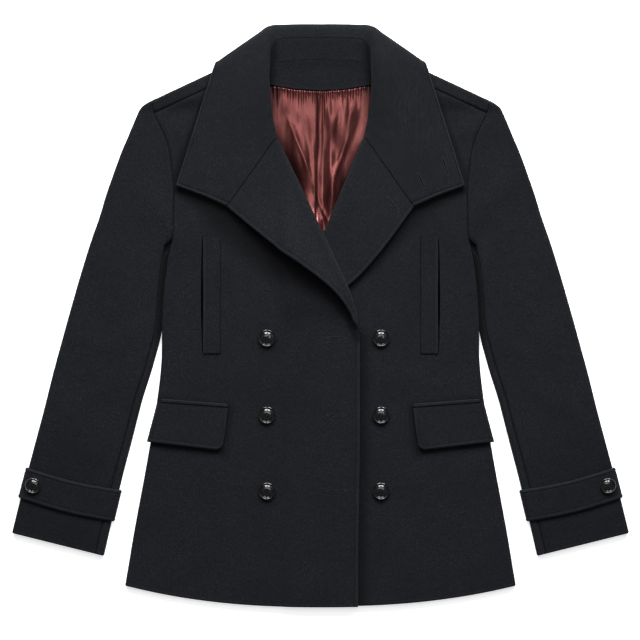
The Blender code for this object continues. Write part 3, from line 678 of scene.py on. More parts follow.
@dataclass(frozen=True)
class Melton:
    """Brushed wool: dense and matt, with a short nap and paler fibres caught in it."""

    name: str = "melton"
    colour: tuple[float, float, float] = (0.0049, 0.0055, 0.007)
    pale: tuple[float, float, float] = (0.048, 0.051, 0.058)
    fibre: float = 0.0034  # length of a paler fibre
    fibre_wide: float = 0.0005
    nap: float = 0.0021  # size of the nap's tufts
    patch: float = 0.010  # size of the areas brushed lighter or darker
    sheen: float = 0.04

    def material(self) -> Material:
        """The cloth's material."""
        made = Shading(self.name)
        tufts = made.noise(made.cloth((self.nap, self.nap * 1.6), 8), 1.0, 3.0)
        fine = made.noise(made.cloth((self.nap * 0.3, self.nap * 0.46), 24), 1.0, 2.0)
        patches = made.noise(made.place(), 1 / self.patch, 3.0)
        broad = made.noise(made.place(), 0.2 / self.patch, 2.0)
        colour = made.mix(made.spread(patches, 0.32, 0.68), self._shade(0.66), self._shade(1.16))
        colour = made.mix(made.spread(broad, 0.35, 0.65, (0.0, 0.3)), colour, self._shade(1.3))
        colour = made.mix(made.spread(tufts, 0.36, 0.68, (0.0, 0.85)), colour, self._shade(2.1))
        colour = made.mix(made.spread(fine, 0.42, 0.66, (0.0, 0.6)), colour, self._shade(0.2))
        fibres = None
        for turn in (12, 58, 104, 151):
            streak = made.noise(made.cloth((self.fibre, self.fibre_wide), turn), 1.0, 1.0)
            streak = made.spread(streak, 0.67, 0.76)
            fibres = streak if fibres is None else made.sum("MAXIMUM", fibres, streak)
        fibres = made.sum("MULTIPLY", fibres, made.spread(broad, 0.35, 0.62, (0.35, 1.0)))
        colour = made.mix(made.sum("MULTIPLY", fibres, 0.7), colour, self.pale)
        # paler along turned and stitched edges, in irregular patches
        paler_rims = made.spread(made.point("rim"), 0.0004, 0.0046, (0.55, 0.0))
        paler_rims = made.sum("MULTIPLY", paler_rims, made.spread(patches, 0.3, 0.65, (0.55, 1.0)))
        colour = made.mix(paler_rims, colour, self._shade(2.9))
        # painted shade: the shade attribute darkens the cloth towards a tenth of its colour
        colour = made.mix(made.point("shade"), colour, self._shade(0.1))
        height = made.sum("ADD", tufts, made.sum("MULTIPLY", fine, 0.5))
        height = made.sum("ADD", height, made.sum("MULTIPLY", fibres, 0.4))
        return made.finish(
            Base_Color=colour,
            Roughness=0.95,
            Specular_IOR_Level=0.12,
            Sheen_Weight=self.sheen,
            Sheen_Roughness=0.45,
            Sheen_Tint=(0.62, 0.68, 0.8, 1.0),
            Normal=made.bump(height, 0.0007, 0.6),
        )

    def _shade(self, amount: float) -> tuple[float, float, float]:
        """The cloth's colour, lighter or darker."""
        return tuple(channel * amount for channel in self.colour)


@dataclass(frozen=True)
class Satin:
    """Lining satin, with a bright sheen along its folds."""

    name: str = "lining_satin"
    colour: tuple[float, float, float] = (0.25, 0.08, 0.072)
    deep: tuple[float, float, float] = (0.1, 0.025, 0.024)
    rib: float = 0.0007
    metallic: float = 0.85
    roughness: float = 0.3

    def material(self) -> Material:
        """The lining's material."""
        made = Shading(self.name)
        patches = made.noise(made.cloth((0.012, 0.04)), 1.0, 3.0)
        threads = made.noise(made.cloth((self.rib, self.rib * 12)), 1.0, 2.0)
        colour = made.mix(made.spread(patches, 0.3, 0.72), self.deep, self.colour)
        colour = made.mix(made.spread(threads, 0.3, 0.7, (0.0, 0.3)), colour, self.deep)
        # painted shade: the shade attribute darkens the satin towards near black
        colour = made.mix(made.point("shade"), colour, (0.012, 0.003, 0.003))
        wrinkles = made.noise(made.cloth((0.011, 0.03), 8), 1.0, 2.0)
        normal = made.bump(threads, 0.00006, 0.5, made.bump(wrinkles, 0.0016, 0.4))
        matt = self.roughness
        return made.finish(Base_Color=colour, Metallic=self.metallic, Roughness=matt, Normal=normal)


@dataclass(frozen=True)
class Horn:
    """Polished black horn."""

    name: str = "black_horn"
    colour: tuple[float, float, float] = (0.005, 0.005, 0.006)
    cloudy: tuple[float, float, float] = (0.011, 0.011, 0.011)

    def material(self) -> Material:
        """The buttons' material."""
        made = Shading(self.name)
        clouds = made.noise(made.place(), 420.0, 3.0)
        scratches = made.noise(made.place(), 2600.0, 2.0)
        return made.finish(
            Base_Color=made.mix(made.spread(clouds, 0.4, 0.75), self.colour, self.cloudy),
            Roughness=made.spread(scratches, 0.3, 0.8, (0.07, 0.16)),
            Specular_IOR_Level=0.5,
            Coat_Weight=0.25,
            Coat_Roughness=0.04,
            Normal=made.bump(clouds, 0.00004, 0.3),
        )


@dataclass(frozen=True)
class Thread:
    """Twisted sewing thread."""

    name: str
    colour: tuple[float, float, float]
    gloss: float = 0.15

    def material(self) -> Material:
        """The thread's material."""
        made = Shading(self.name)
        twist = made.noise(made.place(), 5200.0, 1.0)
        dark = tuple(channel * 0.5 for channel in self.colour)
        return made.finish(
            Base_Color=made.mix(made.spread(twist, 0.35, 0.65), dark, self.colour),
            Roughness=0.7,
            Specular_IOR_Level=self.gloss,
            Normal=made.bump(twist, 0.00008, 0.5),
        )


@dataclass(frozen=True)
class Paper:
    """The plain pale floor, a sheet lit a little from below."""

    name: str = "floor_paper"
    colour: tuple[float, float, float] = (0.93, 0.93, 0.93)
    glow: float = 0.6

    def material(self) -> Material:
        """The floor's material."""
        return Shading(self.name).finish(
            Base_Color=(*self.colour, 1.0),
            Roughness=0.95,
            Specular_IOR_Level=0.05,
            Emission_Color=(1.0, 1.0, 1.0, 1.0),
            Emission_Strength=self.glow,
        )


# ---- building and declaring


MELTON_WEIGHT = Weight(LAYERS.wool, seam_over=2.8, seam_deep=1.2, seam_puff=0.3, seam_dark=0.92)
LAPEL_WEIGHT = Weight(LAYERS.wool, stitch_deep=0.3, across=3.4, along=4.0, bend=13.0)
COLLAR_WEIGHT = Weight(
    LAYERS.collar, round_over=2.2, across=3.6, along=4.2, seam_over=2.0, seam_deep=0.4, seam_dark=0.5
)
TURNED_WEIGHT = Weight(LAYERS.turned, round_over=2.2, across=2.4, along=4.0, stitch_deep=0.35, seam_dark=0.8)
STRAP_WEIGHT = Weight(LAYERS.strap, round_over=3.0, across=2.6, along=3.0, stitch_in=5.0, stitch_deep=0.35)
FACING_WEIGHT = Weight(LAYERS.wool, seam_deep=0.3, seam_dark=0.35)
LINING_WEIGHT = Weight(LAYERS.satin, round_over=0.5, seam_dark=0.5, across=1.5, along=3.2, bend=24.0)
BACK_WEIGHT = Weight(LAYERS.wool, across=7.0, along=7.0)


class Cloakroom:
    def __init__(self, finishes: dict[Slot, Material]) -> None:
        """Takes the finish of each slot."""
        self.finishes = finishes
        self.trees: dict[str, BVHTree] = {}

    def add(
        self,
        name: str,
        data: Mesh,
        slot: Slot = Slot.MELTON,
        stands_for: str | None = None,
        finish: Material | None = None,
    ) -> bpy.types.Object:
        """Makes a mesh into a finished piece.

        Args:
            name: the piece's name.
            data: its mesh, in the coat's own place.
            slot: the material slot that it takes its finish from.
            stands_for: the solid that it replaces, if any.
            finish: its material, where it isn't the slot's own.

        Returns:
            The piece.
        """
        if finish or not data.materials:
            data.materials.clear()
            data.materials.append(finish or self.finishes[slot])
        piece = bpy.data.objects.new(name, data)
        bpy.context.scene.collection.objects.link(piece)
        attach(piece, "root")
        if stands_for:
            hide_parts(stands_for)
        LOG.info("%s: %d faces", name, len(data.polygons))
        return piece

    def sheet(
        self,
        node: str,
        panels: Sequence[Panel],
        on: Sequence[str] = (),
        slot: Slot = Slot.MELTON,
        name: str = "",
    ) -> None:
        """Makes panels into one piece of cloth, and keeps its faces for later drops onto it.

        Args:
            node: the solid that it replaces.
            panels: its panels, the largest first.
            on: the names of what it lies on; not used.
            slot: the material slot that it takes its finish from.
            name: the piece's name, where it isn't the solid's with "cloth" after it.
        """
        name = name or f"{node}_cloth"
        piece = self.add(name, mesh_of(name, panels), slot, node)
        cuts = [panel.cut() for panel in panels]
        width, length = (max(size, 0.01) for size in cuts[0][:2])
        area = sum(cut[2] for cut in cuts)
        width *= max(1.0, area / (width * length))
        list(on)
        corners = [tuple(vertex.co) for vertex in piece.data.vertices]
        faces = [tuple(face.vertices) for face in piece.data.polygons]
        self.trees[name] = BVHTree.FromPolygons(corners, faces)

    def darken(self, name: str, side: Side, line: Table, deep: float, full: float) -> None:
        """Paints a shadow on the nap beside a line, where another piece stands over it.

        Args:
            name: the piece whose nap it is.
            side: the side of the coat that the line is on.
            line: out, y and how far the painted shadow reaches, for each point of the line.
            deep: how dark the painted shadow is, from 0 to 1.
            full: the share of its reach over which it keeps that depth.
        """
        data = bpy.data.objects[name].data
        spots = np.empty(3 * len(data.vertices), np.float32)
        data.vertices.foreach_get("co", spots)
        spots = spots.reshape(-1, 3)[:, :2] / MM * (side.value, 1)
        values = np.empty(len(spots), np.float32)
        shade = data.attributes["shade"].data
        shade.foreach_get("value", values)
        line = np.asarray(line, float)
        for start, end in zip(line, line[1:]):
            step = end - start
            share = np.clip((spots - start[:2]) @ step[:2] / (step[:2] @ step[:2]), 0, 1)[:, None]
            nearest = start + share * step
            far = np.linalg.norm(spots - nearest[:, :2], axis=1) / nearest[:, 2]
            values = np.maximum(values, deep * (1 - ease((far - full) / (1 - full))))
        shade.foreach_set("value", values.astype(np.float32))
        data.update()

    def drop(self, points: Array, above: float = 0.0, names: Sequence[str] = ()) -> Array:
        """Points moved down onto the highest surface under them.

        Args:
            points: places, in millimetres; only X and Y are read.
            above: how far over the surface they end.
            names: the pieces to fall on, or all of them if none is named.

        Returns:
            The points, in millimetres.
        """
        trees = [self.trees[name] for name in names] if names else list(self.trees.values())
        landed = np.zeros((len(points), 3))
        landed[:, :2] = np.asarray(points, float)[:, :2]
        for point in landed:
            start = Vector((point[0] * MM, point[1] * MM, 0.2))
            hits = [tree.ray_cast(start, Vector((0, 0, -1)))[0] for tree in trees]
            point[2] = max((hit.z / MM for hit in hits if hit is not None), default=0.0) + above
        return landed


def place(side: Side, rows: Rows) -> Rows:
    """Rows of out, y, z as X, Y, Z on one side of the coat, laid on the drape."""
    placed = np.array(rows, float)
    placed[..., 0] *= side.value
    return DRAPE.lay(placed)


# ---- fronts


@dataclass(frozen=True)
class FrontCut:
    """The lines of one front."""

    side: Side
    edge: Table  # out, y of its free edge, from the hem to the break
    contact: Table  # out, y of the collar's and lapel's edge over it, and how far its painted shadow reaches
    contact_deep: float
    roll: Table  # out, y of the roll line, from the gorge to the break
    lapel: Table  # out, y of the lapel's outer edge
    roll_radius: Table  # share of the roll, radius
    stand_off: Table  # share of the roll, lapel edge above the front
    facing_to: float
    crossing: Table = ((0.0, 0.0), (1.0, 0.0))  # y, rise over the other front
    hem_rise: float = 0.0
    crossing_from: float = 59.0
    crossing_full: float = 38.0
    match: Table = ((0.0, 0.0), (0.5, 0.5), (0.75, 0.66), (0.9, 0.88), (1.0, 1.0))  # roll share, edge share
    side_rows: Table = (  # share of the roll, y where its row meets the side
        (1, -25.7), (0.9, 12), (0.82, 40), (0.71, 65), (0.6, 85), (0.49, 101.7), (0.38, 125), (0.26, 150),
        (0.13, 178), (0, 205),
    )

    def height(self, out: Array | float, y: Array | float) -> Array:
        """Middle of the front panel at a place on it."""
        share = ease((self.crossing_from - out) / (self.crossing_from - self.crossing_full))
        return LAYERS.front_z + OUTLINE.lift(y) + share * Graph(self.crossing).at(y)

    def top(self, out: Array | float, y: Array | float, thick: float = 0.0) -> Array:
        """Middle of something of a given thickness that lies on the front."""
        return self.height(out, y) + LAYERS.wool / 2 + LAYERS.seam + thick / 2


OVER = FrontCut(
    side=Side.RIGHT,
    edge=((-48.8, -379.9), (-49.0, -290.0), (-50.0, -240.0), (-51.0, -150.0), (-51.0, -30.0)),
    contact=(
        (133, 327, 8), (168.9, 227.8, 9), (187.8, 168, 13), (150, 153, 27), (121.5, 140.7, 46),
        (83.9, 109.5, 54), (52.6, 84.8, 52), (16.3, 58.8, 42), (-7.2, 40.6, 31), (-25.4, 22.4, 22),
        (-40.6, 1, 16), (-50, -28, 12),
    ),
    contact_deep=0.72,
    roll=(
        (56.6, 231.7), (26.7, 169.3), (-3.2, 106.9), (-20.2, 70.5), (-34.6, 40), (-43, 17), (-48.2, -3),
        (-50.8, -26),
    ),
    lapel=(
        (121.5, 140.7), (83.9, 109.5), (52.6, 84.8), (16.3, 58.8), (-7.2, 40.6), (-25.4, 22.4), (-39.4, 1),
        (-47.4, -17), (-50.8, -28),
    ),
    roll_radius=((0.0, 3.5), (0.8, 3.3), (1.0, 2.4)),
    stand_off=((0.0, 4.6), (0.25, 10.0), (0.45, 14.5), (0.62, 13.5), (0.78, 8.8), (0.88, 6.4), (1.0, 4.8)),
    facing_to=0.992,
    match=(
        (0, 0), (0.477, 0.45), (0.6, 0.56), (0.716, 0.67), (0.79, 0.755), (0.85, 0.82), (0.9, 0.868),
        (1, 1),
    ),
    side_rows=(
        (1, -47), (0.953, -25.7), (0.9, -4), (0.86, 12), (0.78, 40), (0.677, 65), (0.572, 85),
        (0.467, 101.7), (0.362, 125), (0.248, 150), (0.124, 178), (0, 205),
    ),
    crossing=(
        (-400, 2.9), (-40, 2.9), (-3.6, 4.6), (14, 7.4), (30, 9), (50, 9.6), (107, 9.4), (140, 5.5),
        (175, 1.5), (232, 0),
    ),
)

UNDER = FrontCut(
    side=Side.LEFT,
    edge=((-31.2, -379.9), (-31.2, 12.0)),
    contact=(
        (133, 327, 8), (168.9, 227.8, 9), (187.8, 168, 12), (150, 153, 20), (121.5, 140.7, 27),
        (76, 79.6, 17), (30, 34, 14),
    ),
    contact_deep=0.55,
    hem_rise=1.0,
    roll=((56.6, 231.7), (30, 168), (3.2, 104.3), (-12, 66), (-24, 36), (-31.2, 12)),
    lapel=((121.5, 140.7), (76, 79.6), (35.8, 38), (-4, 20), (-24, 12), (-31.2, 4)),
    roll_radius=((0.0, 3.5), (0.4, 3.0), (0.6, 2.0), (1.0, 2.0)),
    stand_off=((0.0, 4.6), (0.4, 4.2), (0.6, 3.0), (1.0, 3.0)),
    facing_to=0.74,
)


class Roll:
    """One section across a lapel: where the cloth leaves the front and how it turns over."""

    twist_from = 0.9
    facing_over = LAYERS.wool + LAYERS.seam

    def __init__(self, cut: FrontCut, share: float) -> None:
        """Works out how the lapel turns over here.

        Args:
            cut: the front.
            share: where on its roll line, from the gorge's 0 to the break's 1.
        """
        self.cut, self.share = cut, share
        within = min(share, self.twist_from)
        line, edge = Path(cut.roll), Path(cut.lapel)
        self.radius = Graph(cut.roll_radius).at(share)
        across = edge.at(Graph(cut.match).at(within)) - line.at(within)
        reach = np.linalg.norm(across)
        self.outward = across / reach
        thick = self.radius + LAYERS.wool / 2 + self.facing_over
        self.width = math.pi * self.radius + max(reach - thick, 0.5)
        self.width *= math.sin(math.pi / 2 * min(1.0, (1 - share) / (1 - self.twist_from)))
        turned = min(self.width / self.radius, math.pi / 2)
        self.start = line.at(share) + self.outward * thick * math.sin(turned)

    def points(self, run: Array) -> Array:
        """Middle of the cloth at lengths past the roll's start.

        Args:
            run: the lengths, in millimetres.

        Returns:
            Out, y and z of each point.
        """
        arc = math.pi * self.radius
        turn = np.minimum(run, arc) / self.radius
        flat = np.maximum(run - arc, 0.0)
        place = self.start + self.outward * (flat - self.radius * np.sin(turn))[:, None]
        height = self.radius * (1 - np.cos(turn))
        low = Graph(self.cut.stand_off).at(self.share)
        share = ease(flat / max(self.width - arc, 1e-6)) * (flat > 0)
        height = height + (low - height) * share
        return np.column_stack([place, self.cut.height(place[:, 0], place[:, 1]) + height])

    def section(self, arc_steps: int, flat_steps: int, begin: float = 0.0) -> Array:
        """Points across the lapel from a share of its turn to its edge."""
        arc = min(math.pi * self.radius, self.width * 0.5)
        turn = arc * np.linspace(begin, 1, arc_steps, endpoint=False)
        return self.points(np.concatenate([turn, np.linspace(arc, self.width, flat_steps)]))


@dataclass
class Front:
    """One front with its lapel and the lapel's facing."""

    cut: FrontCut
    levels: int = 60  # rows from the hem to the break
    roll_levels: int = 72  # from the break to the gorge
    top_levels: int = 24  # from the gorge to the shoulder
    overlap: float = 0.15  # past the armhole line, into the sleeve's seam
    near_side: float = 60.0  # from the side, over which its steps are finer
    blend: float = 0.2  # share of the rows above the gorge that bend over to the neckline
    panel: Panel = field(init=False)
    lapel: Panel = field(init=False)
    facing: Panel = field(init=False)

    def _row(self, side_y: float, edge: Array, level: float) -> Array:
        """One row from the side to the front's edge.

        Args:
            side_y: where it meets the side seam or armhole.
            edge: out, y of its other end.
            level: its share of the way from the hem to the break.

        Returns:
            Its points.
        """
        side = np.array([OUTLINE.side_out(side_y), side_y])
        along = unit(edge - side)
        wrapped = OUTLINE.wrapped(side_y)
        half, fold, top = LAYERS.wool / 2, LAYERS.fold, LAYERS.front_z
        low = LAYERS.wool + LAYERS.seam * 1.5
        upright = top - fold - low
        arc = upright + fold * np.linspace(0, math.pi / 2, 9)
        run = np.concatenate([np.linspace(0, upright, 3)[:-1], arc])
        turn = np.maximum(run - upright, 0) / fold
        folded_in = half + fold * (1 - np.cos(turn))
        folded_z = np.minimum(run, upright) + low + fold * np.sin(turn)
        flat_in = run - self.overlap * (1 - run / run[-1])
        inward = flat_in + (folded_in - flat_in) * wrapped
        near = np.linspace(inward[-1], self.near_side, 15)[1:]
        steps = np.concatenate([inward, near, np.linspace(self.near_side, np.linalg.norm(edge - side), 60)])
        fall = np.pad((folded_z - top) * wrapped, (0, len(steps) - len(inward)))
        spots = side + along * steps[:, None]
        heights = self.cut.height(spots[:, 0], spots[:, 1]) + fall
        first, front = OUTLINE.hem_side_y, OUTLINE.hem_front_y + self.cut.hem_rise
        straight = first + (front - first) * (side[0] - spots[:, 0]) / (side[0] - edge[0])
        bow = (OUTLINE.hem_y(spots[:, 0], front) - straight) * (1 - level) ** 1.5
        return np.column_stack([spots[:, 0], spots[:, 1] + bow, heights])

    def _rows(self) -> Rows:
        """The front's own rows, from the hem to the shoulder seam."""
        rows = []
        roll_end, hem_y = self.cut.roll[-1][1], OUTLINE.hem_front_y + self.cut.hem_rise
        free = Graph([(y, out) for out, y in self.cut.edge])
        for level in np.linspace(0, 1, self.levels, endpoint=False):
            side_y = OUTLINE.hem_side_y + (self.cut.side_rows[0][1] - OUTLINE.hem_side_y) * level
            edge_y = hem_y + (roll_end - hem_y) * level
            rows.append(self._row(side_y, np.array([free.at(edge_y), edge_y]), level))
        matched = Graph(self.cut.side_rows)
        for share in np.linspace(1, 0, self.roll_levels):
            rows.append(self._row(matched.at(share), Roll(self.cut, share).start, 1.0))
        neck, gorge = Path(OUTLINE.neckline), Roll(self.cut, 0.0).start
        tip_y, blend = OUTLINE.shoulder_seam[0][1], self.blend
        for share in np.linspace(0, 1, self.top_levels + 1)[1:]:
            side_y = OUTLINE.gorge_side_y + (tip_y - OUTLINE.gorge_side_y) * share
            if share < blend:
                edge = gorge + (neck.at(0.0) - gorge) * share / blend
            else:
                edge = neck.at((share - blend) / (1 - blend))
            rows.append(self._row(side_y, edge, 1.0))
        return np.array(rows)

    def _facing_rows(self) -> Rows:
        """The lapel's upper layer, over the turned cloth and thinning into the break."""
        shares = np.linspace(0, self.cut.facing_to, self.roll_levels)
        rows = place(self.cut.side, np.array([Roll(self.cut, s).section(16, 44, 0.28) for s in shares]))
        normal = normals_of(rows)
        if normal[len(rows) // 3, -10, 2] < 0:
            normal = -normal
        over = Roll.facing_over - 1.4 * ease((shares - 0.93) / 0.055)
        return rows + normal * over[:, None, None]

    def build(self, room: Cloakroom) -> None:
        """Makes the front and its facing.

        Args:
            room: keeps the finished pieces.
        """
        cut, word, top = self.cut, self.cut.side.word, self.cut.roll[-1][1]
        rims = Rims(SEAM, STITCHED, TURNED, SEAM, lambda y: 1 - ease((y - top + 4) / 9))
        self.panel = Panel(place(cut.side, self._rows()), MELTON_WEIGHT, rims)
        lapel_rows = np.array([Roll(cut, s).section(16, 44) for s in np.linspace(0, 1, self.roll_levels)])
        rims = Rims(OPEN, TURNED, SEAM, TURNED)
        self.lapel = Panel(place(cut.side, lapel_rows), LAPEL_WEIGHT, rims, (0, 0, -1))
        on = ["back_cloth"] if cut is UNDER else ["back_cloth", "front_left_cloth"]
        room.sheet(f"front_{word}", [self.panel, self.lapel], on)
        # painted shadows below the collar's and lapel's edges, on this front and on the back's shoulder
        room.darken(f"front_{word}_cloth", cut.side, cut.contact, cut.contact_deep, 0.36)
        room.darken("back_cloth", cut.side, cut.contact[:2], cut.contact_deep, 0.2)
        if cut is OVER:
            # painted shadow on the under front beside the over front's edge
            edge = [(-out, y, 20.0) for out, y in cut.edge]
            room.darken("front_left_cloth", Side.LEFT, edge, 0.8, 0.0)
        self.facing = Panel(self._facing_rows(), LAPEL_WEIGHT, Rims(OPEN, STITCHED, SEAM, TURNED))
        node, on = f"lapel_facing_{word}", [f"front_{word}_cloth"]
        room.sheet(node, [self.facing], on, Slot.COLLAR, f"facing_{word}_cloth")


# ---- collar


@dataclass
class Collar:
    """The stand round the neck and the fall that turns over it."""

    rows: tuple[Table, ...] = (
        ((0, 332.6, 9), (0, 370.8, 10), (0, 377, 6), (0, 370.8, 2), (0, 293, 2.1)),
        ((24, 332.2, 9), (26.7, 370.8, 10), (27.9, 377, 6), (30.6, 370.2, 2), (55, 293, 2.1)),
        ((45, 330.5, 9.2), (47.5, 370.2, 10.8), (51.4, 376.2, 6.8), (56.6, 368.9, 2), (101, 297, 2.1)),
        ((59, 326.6, 9.6), (59, 366.9, 13), (62.4, 375.4, 9), (70.9, 366.5, 2.2), (129.5, 321, 2.1)),
        ((64.4, 321.4, 10.4), (63.7, 361.7, 16.5), (68, 371.5, 15.5), (78.5, 366, 11.5), (133.2, 327.2, 9)),
        ((67, 316.2, 11), (67, 353.9, 19), (72.2, 361.5, 21), (82.5, 358.5, 19.5), (138, 323, 15.8)),
        ((68.2, 307.1, 11.2), (68.9, 334.4, 20.5), (74.8, 337, 25), (86.5, 331.8, 22.5), (145.6, 300.6, 16)),
        ((68.2, 290.2, 10.4), (68.9, 308.4, 20), (74.1, 308.4, 24.5), (87.8, 298, 22), (156.7, 266.8, 14.5)),
        ((66.3, 272, 9), (67.6, 282.4, 18.5), (72.8, 279.8, 22.5), (87.8, 266.8, 20.5),
         (168.9, 227.8, 13.2)),
        ((63.1, 252.5, 8.4), (64.4, 256.4, 15.5), (70.2, 252.5, 19), (83.9, 238.2, 17.8), (187.8, 168, 13)),
        ((60.6, 239.5, 8.4), (61.1, 242.1, 14), (66.3, 237.6, 17.5), (80, 221.3, 16.8), (152.8, 155, 13.4)),
    )
    point_row: int = 9
    steps: int = 9  # rows made between two of these
    stand_seam: float = 0.72
    side_shade: float = 0.55  # how dark the painted shade in the stand's sides is
    fall: Panel = field(init=False)

    def _gorge_row(self) -> Array:
        """The last row, beside the lapel's first section and level with its top."""
        roll = Roll(OVER, 0.0)
        line = np.array(OVER.roll[0]) - np.array(OVER.roll[1])
        beside = unit(line) * LAYERS.seam * 1.7
        over = LAYERS.wool / 2 + Roll.facing_over - LAYERS.collar / 2
        radius = roll.radius + over
        turn = np.radians((60, 90, 150))[:, None]
        curl = roll.start - roll.outward * radius * np.sin(turn) + beside
        rise = OVER.height(*roll.start) + roll.radius - radius * np.cos(turn)
        arc = math.pi * roll.radius
        flat = roll.points(arc + (roll.width - arc) * np.array([0.17, 1.0])) + (*beside, over)
        return np.vstack([np.hstack([curl, rise]), flat])

    def _grid(self, columns: Array) -> Rows:
        """Part of the collar, laid on the coat.

        Args:
            columns: steps through each row's points, whole or in part.

        Returns:
            The rows, round the neck.
        """
        half = [np.array(row) for row in self.rows] + [self._gorge_row()]
        whole = np.array([row * (-1, 1, 1) for row in half[:0:-1]] + half)
        count = len(half) - 1
        corners = (0, count - self.point_row, count + self.point_row, 2 * count)
        rows = []
        for begin, end in zip(corners, corners[1:]):
            smooth = Path(whole[begin : end + 1].reshape(end - begin + 1, -1), by_length=False)
            steps = (end - begin) * self.steps
            for i in range(steps + (end == corners[-1])):
                across = Path(smooth.at(i / steps).reshape(-1, 3))
                rows.append(across.at(np.interp(columns, np.arange(len(across.knots)), across.knots)))
        rows = np.array(rows)
        rows[..., 2] = np.maximum(rows[..., 2], LAYERS.collar / 2 + 0.5)
        return DRAPE.lay(rows)

    def build(self, room: Cloakroom) -> None:
        """Makes the stand and the fall.

        Args:
            room: keeps the finished pieces.
        """
        seam = self.stand_seam
        stand = Panel(self._grid(np.linspace(0, seam, 10)), COLLAR_WEIGHT, Rims(OPEN, SEAM, TURNED, TURNED))
        # painted shade over all of the stand, deeper in its sides beside the collar's roll
        inside = self.side_shade * ease((np.abs(stand.middle[..., 0]) - 52) / 10)
        stand.shade = np.maximum(stand.shade, 0.22 + inside)
        room.sheet("collar_stand", [stand], ["back_cloth"], Slot.COLLAR)
        columns = np.concatenate([[seam], np.linspace(seam + 0.04, 3.0, 42), np.linspace(3.0, 4.0, 30)[1:]])
        self.fall = Panel(self._grid(columns), COLLAR_WEIGHT, Rims(SEAM, STITCHED, SEAM, SEAM), (0, 0, -1))
        on = ["collar_stand_cloth", "front_right_cloth", "front_left_cloth"]
        room.sheet("collar_fall", [self.fall], on, Slot.COLLAR)


# ---- back and neck opening


@dataclass
class Back:
    """The back, in two halves with a seam down the middle, and its shoulders."""

    body_gap: float = 0.2
    lower_rows: int = 90
    upper_rows: int = 26
    columns: int = 60
    neck: Table = ((0.0, 332.0), (44.0, 330.6), (60.0, 333.0))

    def _shoulder(self) -> tuple[Array, Array, Array]:
        """Start, end and outward direction of the shoulder's fold, set in by its radius."""
        tip, neck = (np.array(end) for end in OUTLINE.shoulder_fold)
        along = unit(tip - neck)
        outward = np.array([-along[1], along[0]])
        inset = outward * LAYERS.edge_in
        return tip - inset + along * 1.9, neck - inset, outward

    def _top_y(self, out: Array) -> Array:
        """Top edge of the back: the neck seam, then the shoulder's fold."""
        tip, neck, _ = self._shoulder()
        return np.interp(out, *zip(*self.neck, neck, tip))

    def _half(self) -> Rows:
        """One half of the back, from the middle out."""
        tip = self._shoulder()[0]
        shares = np.linspace(0, 1, self.columns)
        low, chest = OUTLINE.hem_side_y, OUTLINE.chest_y
        level = np.linspace(0, 1, self.lower_rows)[:, None]
        half = OUTLINE.side_out(low + (chest - low) * level) - self.body_gap
        foot = OUTLINE.hem_y(shares * OUTLINE.hem_half, OUTLINE.hem_back_y)
        lower = grid(shares * half, foot + (chest - foot) * level)
        level = np.linspace(0, 1, self.upper_rows)[1:, None]
        half = OUTLINE.side_out(chest + (tip[1] - chest) * level) - self.body_gap
        outs = shares * np.where(level == 1, tip[0], half)
        upper = grid(outs, chest + (self._top_y(outs) - chest) * level)
        outs, y = np.moveaxis(np.vstack([lower, upper]), 2, 0)
        return grid(np.maximum(outs, LAYERS.seam / 2), y, LAYERS.back_z + OUTLINE.lift(y))

    def _wrap(self) -> Rows:
        """The cloth that goes over one shoulder to its seam."""
        tip, neck, outward = self._shoulder()
        starts = neck + (tip - neck) * np.linspace(0, 1, 40)[:, None]
        angle = np.radians(np.linspace(0, 180, 13))[:, None]
        out, y = (starts[:, i] + outward[i] * LAYERS.fold * np.sin(angle) for i in (0, 1))
        z = LAYERS.back_z + OUTLINE.lift(starts[:, 1]) + LAYERS.fold * (1 - np.cos(angle))
        rows = list(grid(out, y, z))
        seam_tip, seam_neck = (np.array(end) for end in OUTLINE.shoulder_seam)
        along = np.linspace(0, 1, 40)[:, None]
        spots = seam_neck + (seam_tip - seam_neck) * along - outward * 0.1
        last = np.column_stack([spots, LAYERS.front_z + OUTLINE.lift(spots[:, 1])])
        rows += [rows[12] + (last - rows[12]) * share for share in np.linspace(0, 1, 6)[1:]]
        return np.array(rows)

    def build(self, room: Cloakroom) -> None:
        """Makes the back.

        Args:
            room: keeps the finished pieces.
        """
        rims = Rims(SEAM, SEAM, TURNED, OPEN)
        halves = [Panel(place(side, self._half()), BACK_WEIGHT, rims, (0, 0, -1)) for side in Side]
        rims = Rims(SEAM, SEAM, OPEN, SEAM)
        wraps = [Panel(place(side, self._wrap()), MELTON_WEIGHT, rims) for side in Side]
        room.sheet("back", halves + wraps)


